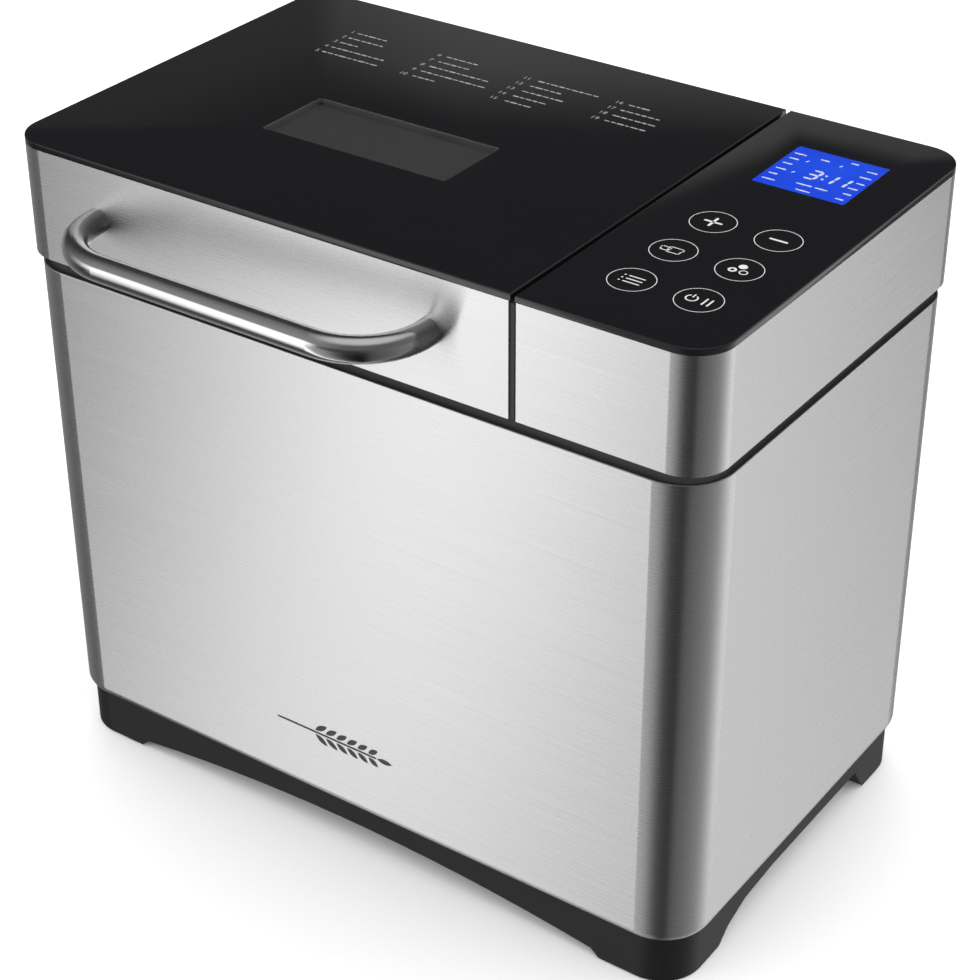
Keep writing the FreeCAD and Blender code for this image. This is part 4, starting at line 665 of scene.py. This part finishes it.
SEGMENTS = {"0": "abcdef", "1": "bc", "2": "abged", "3": "abgcd", "4": "fgbc", "5": "afgcd",
            "6": "afgecd", "7": "abc", "8": "abcdefg", "9": "abfgcd"}


def bar(x0, y0, x1, y1, width, slant, height):
    """Pointed bar of a seven-bar numeral."""
    start, end = Vector((x0, y0)), Vector((x1, y1))
    along = (end - start).normalized()
    across = Vector((-along.y, along.x)) * width / 2
    points = [start, start + along * width / 2 + across, end - along * width / 2 + across, end,
              end - along * width / 2 - across, start + along * width / 2 - across]
    mesh = bpy.data.meshes.new("bar")
    shape = bmesh.new()
    corners = [shape.verts.new((point.x + slant * (point.y - y_mid(y0, y1)), point.y, height))
               for point in points]
    shape.faces.new(corners)
    shape.to_mesh(mesh)
    shape.free()
    return mesh


def y_mid(y0, y1):
    """Height of a bar's middle in the plan."""
    return (y0 + y1) / 2


def numeral(figure, x, y, wide, tall, width, slant, height):
    """Meshes of one seven-bar numeral whose lower left corner is at x, y."""
    gap = width * 0.14
    mid = y + tall / 2
    lean = slant * tall / 2
    lines = {"a": (x + gap, y + tall, x + wide - gap, y + tall, lean),
             "g": (x + gap, mid, x + wide - gap, mid, 0),
             "d": (x + gap, y, x + wide - gap, y, -lean),
             "f": (x, mid + gap, x, y + tall - gap, lean / 2),
             "b": (x + wide, mid + gap, x + wide, y + tall - gap, lean / 2),
             "e": (x, y + gap, x, mid - gap, -lean / 2),
             "c": (x + wide, y + gap, x + wide, mid - gap, -lean / 2)}
    meshes = []
    for key in SEGMENTS[figure]:
        x0, y0, x1, y1, shift = lines[key]
        meshes.append(bar(x0 + shift, y0, x1 + shift, y1, width, slant, height))
    return meshes


def display():
    """Backlit face with the time in seven-bar numerals and short marks in place of words."""
    face = GLASS_TOP - 0.55 * MM
    ink = face + 0.02 * MM
    low, high = DISPLAY_PLAN
    wide, deep = high.x - low.x, high.y - low.y
    plate = plate_mesh("display_face", DISPLAY_PLAN, DISPLAY_CORNER, 0.06 * MM, face - 0.8 * MM, face)
    new_object("display_face", plate, BLUE, "root")

    def spot(across, along):
        """Plan point from shares of the display's width and depth."""
        return low.x + across * wide, low.y + along * deep
    meshes = []
    tall = deep * 0.20
    for figure, across in (("3", 0.385), ("1", 0.56), ("1", 0.70)):
        x, y = spot(across, 0.365)
        meshes += numeral(figure, x, y, wide * 0.105, tall, deep * 0.030, 0.12, ink)
    for along in (0.42, 0.51):
        x, y = spot(0.555, along)
        meshes.append(ring_shape(x, y, 0, deep * 0.016, ink, 20))
    marks = [(0.04, 0.83, 0.13), (0.33, 0.83, 0.09), (0.62, 0.92, 0.07), (0.05, 0.70, 0.10),
             (0.05, 0.565, 0.10), (0.05, 0.42, 0.11), (0.05, 0.28, 0.09), (0.05, 0.14, 0.14),
             (0.83, 0.83, 0.11), (0.83, 0.68, 0.12), (0.87, 0.53, 0.08), (0.85, 0.39, 0.10),
             (0.87, 0.25, 0.08), (0.86, 0.11, 0.08), (0.39, 0.21, 0.16), (0.59, 0.21, 0.13),
             (0.45, 0.08, 0.15)]
    for across, along, length in marks:
        pieces = max(2, round(length / 0.045))
        for index in range(pieces):
            start, end = (index + 0.1) / pieces, (index + 0.8) / pieces
            x0, y = spot(across + length * start, along)
            x1, _ = spot(across + length * end, along)
            meshes.append(stroke(x0, y, x1, y, deep * (0.020 + 0.006 * (index % 2)), ink))
    for across, along in ((0.235, 0.70), (0.235, 0.40), (0.56, 0.78)):
        x, y = spot(across, along)
        meshes.append(stroke(x, y, x + wide * 0.012, y + deep * 0.03, deep * 0.016, ink))
    new_object("display_figures", joined(meshes, "display_figures"), LIT_WHITE, "root")


# ---- prints on the glass ----

def figures(text, x, y, size, height):
    """Mesh of a printed number whose left end is at x and whose middle is at y."""
    curve = bpy.data.curves.new("number", "FONT")
    curve.body = text
    curve.size = size
    curve.align_y = "CENTER"
    curve.space_character = 1.1
    item = bpy.data.objects.new("number", curve)
    bpy.context.scene.collection.objects.link(item)
    bpy.context.view_layer.update()
    mesh = bpy.data.meshes.new_from_object(item.evaluated_get(bpy.context.evaluated_depsgraph_get()))
    bpy.data.objects.remove(item)
    mesh.transform(Matrix.Translation((x, y, height)))
    return mesh


def programme_list():
    """Nineteen numbered lines in four columns, with marks in place of their words."""
    columns = [(-129.8, -125.6, (18, 20, 12, 33, 33)), (-78.0, -72.4, (19, 19, 34, 36, 12)),
               (-29.0, -20.2, (34, 16, 24, 18, 15)), (21.4, 29.0, (12, 22, 22, 21))]
    first, pitch, size = MIDDLE_Y + 73.5 * MM, 6.9 * MM, 4.0 * MM
    meshes, number = [], 0
    for number_x, word_x, lengths in columns:
        for row, length in enumerate(lengths):
            number += 1
            y = first - row * pitch
            shift = 2.2 if number == 10 else 0
            meshes.append(figures(str(number), (number_x - shift) * MM, y, size, GLASS_HIGH.z))
            x, end = word_x * MM, (word_x + length) * MM
            step = 0
            while x < end - 1 * MM:
                long = (1.7, 2.6, 1.3, 3.2, 2.1)[(number + step) % 5] * MM
                thick = (0.9, 1.15, 0.8)[(number * 2 + step) % 3] * MM
                meshes.append(stroke(x, y, min(x + long, end), y, thick, GLASS_HIGH.z))
                x += long + 1.5 * MM
                step += 1
    new_object("programme_list", joined(meshes, "programme_list"), LIST_INK, "lid")


def key_marks():
    """Six ringed touch keys with plain signs."""
    height = GLASS_HIGH.z
    left, step_x = RIGHT - 58.3 * MM, 30.5 * MM
    front, step_y = FRONT + 37.2 * MM, 31.5 * MM
    rings, signs = [], []
    for row in range(3):
        for column in range(2):
            rings.append(ring_shape(left + column * step_x, front + row * step_y, 9.72 * MM, 10.05 * MM,
                                    height, 96))

    def key(column, row):
        """Plan middle of a key."""
        return left + column * step_x, front + row * step_y

    def line(place, x0, y0, x1, y1, width=0.55):
        """Stroke of a sign, in millimetres from the middle of its key."""
        x, y = place
        signs.append(stroke(x + x0 * MM, y + y0 * MM, x + x1 * MM, y + y1 * MM, width * MM, height))
    line(key(0, 2), -3.7, 0, 3.7, 0, 1.25)
    line(key(0, 2), 0, -3.7, 0, 3.7, 1.25)
    line(key(1, 2), -3.7, 0, 3.7, 0, 1.25)
    for offset, size in ((-3.6, 1.5), (0.6, 2.3)):
        loaf(signs, key(0, 1), offset, size, height)
    for index, turn in enumerate((90, 210, 330)):
        x, y = key(1, 1)
        angle = math.radians(turn)
        x, y = x + 2.9 * MM * math.cos(angle), y + 2.9 * MM * math.sin(angle)
        signs.append(ring_shape(x, y, (0, 0.9, 1.35)[index] * MM, 1.9 * MM, height, 40))
    for y in (-2.6, 0, 2.6):
        line(key(0, 0), -2.4, y, 4.6, y, 0.7)
        line(key(0, 0), -4.5, y, -4.3, y, 0.8)
    x, y = key(1, 0)
    signs.append(ring_shape(x - 3.2 * MM, y, 2.1 * MM, 2.75 * MM, height, 40, 120, 300))
    line(key(1, 0), -3.2, 1.0, -3.2, 3.2, 0.65)
    line(key(1, 0), 2.6, -2.5, 2.6, 2.5, 0.8)
    line(key(1, 0), 5.0, -2.5, 5.0, 2.5, 0.8)
    new_object("key_rings", joined(rings, "key_rings"), INK, "root")
    new_object("key_signs", joined(signs, "key_signs"), SIGN_INK, "root")


def loaf(meshes, place, offset, size, height):
    """Outline of a small loaf."""
    x, y = place
    points = [(-1.5, -1.0), (1.5, -1.0), (1.5, 0.3), (1.9, 0.8), (1.5, 1.4), (-1.5, 1.4), (-1.9, 0.8),
              (-1.5, 0.3)]
    spots = [(x + (offset + size * a * 0.85) * MM, y + (size * b * 0.85 - 0.4) * MM) for a, b in points]
    for start, end in zip(spots, spots[1:] + spots[:1]):
        meshes.append(stroke(*start, *end, 0.5 * MM, height))


def front_mark():
    """Generic ear of wheat on the lower front."""
    meshes = []
    middle = Vector((-11 * MM, 62 * MM))
    meshes.append(stroke(-31 * MM, 0, 26 * MM, 0, 1.1 * MM, 0))
    for index in range(6):
        for side in (-1, 1):
            start = Vector((-9 + 6.2 * index, side * 1.2)) * MM
            meshes.append(grain(start, side * 32, (8.2 - 0.35 * index) * MM, 2.9 * MM))
    meshes.append(grain(Vector((27, 0)) * MM, 0, 8.5 * MM, 2.8 * MM))
    mesh = joined(meshes, "front_mark")
    upright = Matrix.Rotation(math.radians(90), 4, "X")
    mesh.transform(Matrix.Translation((middle.x, FRONT - PRINT_RISE, middle.y)) @ upright)
    new_object("front_mark", mesh, DARK_INK, "root")


def grain(start, turn, long, wide):
    """Leaf-shaped outline that leaves a point at an angle."""
    angle = math.radians(turn)
    along, across = Vector((math.cos(angle), math.sin(angle))), Vector((-math.sin(angle), math.cos(angle)))
    points = []
    for side in (1, -1):
        for step in range(9):
            share = step / 9 if side > 0 else 1 - step / 9
            points.append(start + along * long * share
                          + across * side * wide / 2 * math.sin(math.pi * share) ** 0.8)
    mesh = bpy.data.meshes.new("grain")
    shape = bmesh.new()
    shape.faces.new([shape.verts.new((point.x, point.y, 0)) for point in points])
    shape.to_mesh(mesh)
    shape.free()
    return mesh


# ---- edges and hems of the steel ----

def folded_edge():
    """Rounded fold along the top of the steel wrap."""
    fold = 0.4 * MM
    turns = [math.radians(30 * step) for step in range(13)]
    profile = [(fold * (1.05 - math.cos(turn)), WRAP_HIGH.z + fold * math.sin(turn)) for turn in turns]
    edge = swept("folded_edge", WRAP_LOW.xy, WRAP_HIGH.xy, [HOUSING_CORNER] * 4, profile)
    new_object("folded_edge", edge, STEEL, "root")


def band_run(inset):
    """Open run along the band, from the lid's swing room at the back left round to the panel's back."""
    corners = outline_at(WRAP_LOW.xy, WRAP_HIGH.xy, [HOUSING_CORNER] * 4, inset)
    hinge_low, hinge_high = box("hinge_pin_left")
    start = Vector((WRAP_LOW.x + inset, (hinge_low.y + hinge_high.y) / 2 - SWING_ROOM))
    end = Vector((SIDE_LOW.x, WRAP_HIGH.y - inset))
    return [start] + corners[:3 * (CORNER_STEPS + 1)] + [end]


def lid_seal():
    """Dark strip along the top of the band, just under the lid and the panel: painted shadow of the gap
    under their skirts.
    """
    outer, inner = band_run(BAND_INSET - 0.25 * MM), band_run(BAND_INSET + 0.2 * MM)
    foot, top = SIDE_LOW.z - 2.1 * MM, SIDE_LOW.z - 0.6 * MM
    mesh = bpy.data.meshes.new("lid_seal")
    shape = bmesh.new()
    sections = [[shape.verts.new((place.x, place.y, height)) for place, height in
                 ((out, top), (out, foot), (back, foot), (back, top))] for out, back in zip(outer, inner)]
    for before, after in zip(sections, sections[1:]):
        for side in range(4):
            following = (side + 1) % 4
            shape.faces.new((before[side], before[following], after[following], after[side]))
    shape.faces.new(reversed(sections[0]))
    shape.faces.new(sections[-1])
    bmesh.ops.recalc_face_normals(shape, faces=shape.faces)
    shape.to_mesh(mesh)
    shape.free()
    # foot rubber on this strip paints the shadow under the skirts
    new_object("lid_seal", mesh, RUBBER, "root", smooth=False)


def soften_nodes():
    """Small bevels on the CAD nodes in view, so that their edges catch light."""
    widths = {"base": 0.5, "top_frame": 0.3, "lid_frame": 0.25, "panel_frame": 0.25}
    for name, width in widths.items():
        item = frame["nodes"][name]
        weld = item.modifiers.new("weld", "WELD")
        weld.merge_threshold = 0.002 * MM
        bevel(item, width * MM, 2, 35)
        item.data.shade_smooth()
        normals = item.modifiers.new("even_normals", "WEIGHTED_NORMAL")
        normals.keep_sharp = True


# ---- surroundings ----

def studio_world():
    """White for the camera, soft even light for matte faces, and strips of light for glossy ones."""
    world = bpy.data.worlds.new("studio")
    world.use_nodes = True
    tree = world.node_tree
    tree.nodes.clear()
    place = node(tree, "TexCoord").outputs["Generated"]
    parts = node(tree, "SeparateXYZ", Vector=place).outputs
    turn = maths(tree, "ARCTAN2", parts["X"], maths(tree, "MULTIPLY", parts["Y"], -1.0))
    turn = maths(tree, "MULTIPLY_ADD", turn, 0.5 / math.pi, 0.5)
    rise = node(tree, "MapRange", Value=parts["Z"], From_Min=-0.15, From_Max=0.15).outputs["Result"]
    climb = node(tree, "MapRange", Value=parts["Z"], From_Min=0.30, From_Max=0.38).outputs["Result"]
    ring = mixed(tree, rise, light_ring(tree, turn, LIGHT_LOW), light_ring(tree, turn, LIGHT_MIDDLE))
    ring = mixed(tree, climb, ring, light_ring(tree, turn, LIGHT_HIGH))
    above = node(tree, "MapRange", Value=parts["Z"], From_Min=0.80, From_Max=0.95).outputs["Result"]
    glossy = mixed(tree, above, ring, (0.35, 0.35, 0.35, 1))
    rays = node(tree, "LightPath").outputs
    even = mixed(tree, rays["Is Glossy Ray"], (EVEN_LIGHT, EVEN_LIGHT, EVEN_LIGHT, 1), glossy)
    shown = mixed(tree, rays["Is Camera Ray"], even, (0.5, 0.5, 0.5, 1))
    light = node(tree, "Background", Color=shown, Strength=2.0)
    output = tree.nodes.new("ShaderNodeOutputWorld")
    tree.links.new(light.outputs["Background"], output.inputs["Surface"])
    bpy.context.scene.world = world


def light_ring(tree, turn, stops):
    """Half the brightness of the surroundings at each heading, from stops of (degrees, brightness)."""
    return ramp(tree, turn, [(angle / 360 + 0.5, level / 2) for angle, level in stops])


# Headings in degrees: 0 is the front, 90 the right. The low ring is seen by upright faces.
EVEN_LIGHT = 0.80
LIGHT_LOW = [
    (-180, 0.55), (-120, 0.35), (-60, 0.06), (-48, 0.06), (-46, 0.12), (-44.5, 0.38), (-42.5, 0.66),
    (-40.5, 1.05), (-38, 1.70), (-36, 2.00), (-31.6, 2.00), (-30.4, 0.80), (-28, 0.48), (-14, 0.40),
    (-5, 0.28), (3, 0.14), (14, 0.04), (30, 0.01), (37, 0.01), (50, 0.10), (75, 0.17), (103, 0.28),
    (120, 0.54), (137, 1.00), (150.0, 1.55), (151.6, 0.80), (153, 0.22), (156, 0.14), (165, 0.20),
    (180, 0.50)]
LIGHT_MIDDLE = [
    (-180, 0.05), (-160, 0.16), (-147, 0.24), (-140, 0.08), (-110, 0.03), (-80, 0.20), (-60, 0.60),
    (-48, 1.20), (-42, 1.80), (-31, 2.00), (-26, 0.80), (-18, 0.15), (0, 0.04), (30, 0.03),
    (60, 0.12), (110, 0.30), (140, 0.60), (150, 0.55), (165, 0.20), (180, 0.05)]
LIGHT_HIGH = [
    (-180, 0.03), (-110, 0.03), (-85, 0.12), (-60, 0.26), (-40, 0.32), (-15, 0.24), (10, 0.12),
    (60, 0.10), (120, 0.20), (150, 0.60), (180, 0.10)]


def floor():
    """Plain pale floor that glossy faces don't see."""
    mesh = bpy.data.meshes.new("floor")
    size = FLOOR_HALF
    corners = [(-size, -size, 0), (size, -size, 0), (size, size, 0), (-size, size, 0)]
    mesh.from_pydata(corners, [], [(0, 1, 2, 3)])
    mesh.materials.append(studio_floor("floor_paper"))
    item = bpy.data.objects.new("floor", mesh)
    bpy.context.scene.collection.objects.link(item)
    item.visible_glossy = False


def camera():
    """Three-quarter view from the front right and above."""
    data = bpy.data.cameras.new("camera")
    data.lens = 89.01
    data.sensor_width = 36
    item = bpy.data.objects.new("camera", data)
    right = Vector((0.82071, 0.57134, -0.00203))
    up = Vector((-0.30101, 0.43541, 0.84842))
    away = Vector((0.48562, -0.69569, 0.52932))
    item.matrix_world = Matrix((
        (right.x, up.x, away.x, 0.56206), (right.y, up.y, away.y, -0.78125),
        (right.z, up.z, away.z, 0.75609), (0, 0, 0, 1)))
    bpy.context.scene.collection.objects.link(item)
    bpy.context.scene.camera = item


# ---- assembly ----

COVER = clear_glass("display_glass", (0.97, 0.97, 0.97), 0.02)
FRAME_GREY = moulded("frame_grey", (0.40, 0.40, 0.40), 0.5)
SMOKE = moulded("smoked_pane", (0.21, 0.21, 0.21), 0.35, 2600.0, 0.05)
BLUE = lit("display_blue", (0.004, 0.045, 0.84), (0.010, 0.105, 1.00), 1.0)
LIT_WHITE = lit("display_white", (0.80, 0.88, 1.0), (0.95, 0.98, 1.0), 1.0, 400.0)
LIST_INK = printed_ink("list_ink", (0.30, 0.30, 0.30))
SIGN_INK = printed_ink("sign_ink", (0.62, 0.62, 0.62))

glass_tops()
window_recess()
display()
programme_list()
key_marks()
front_mark()
folded_edge()
lid_seal()
soften_nodes()
studio_world()
floor()
camera()
bpy.context.scene.view_settings.view_transform = "Standard"
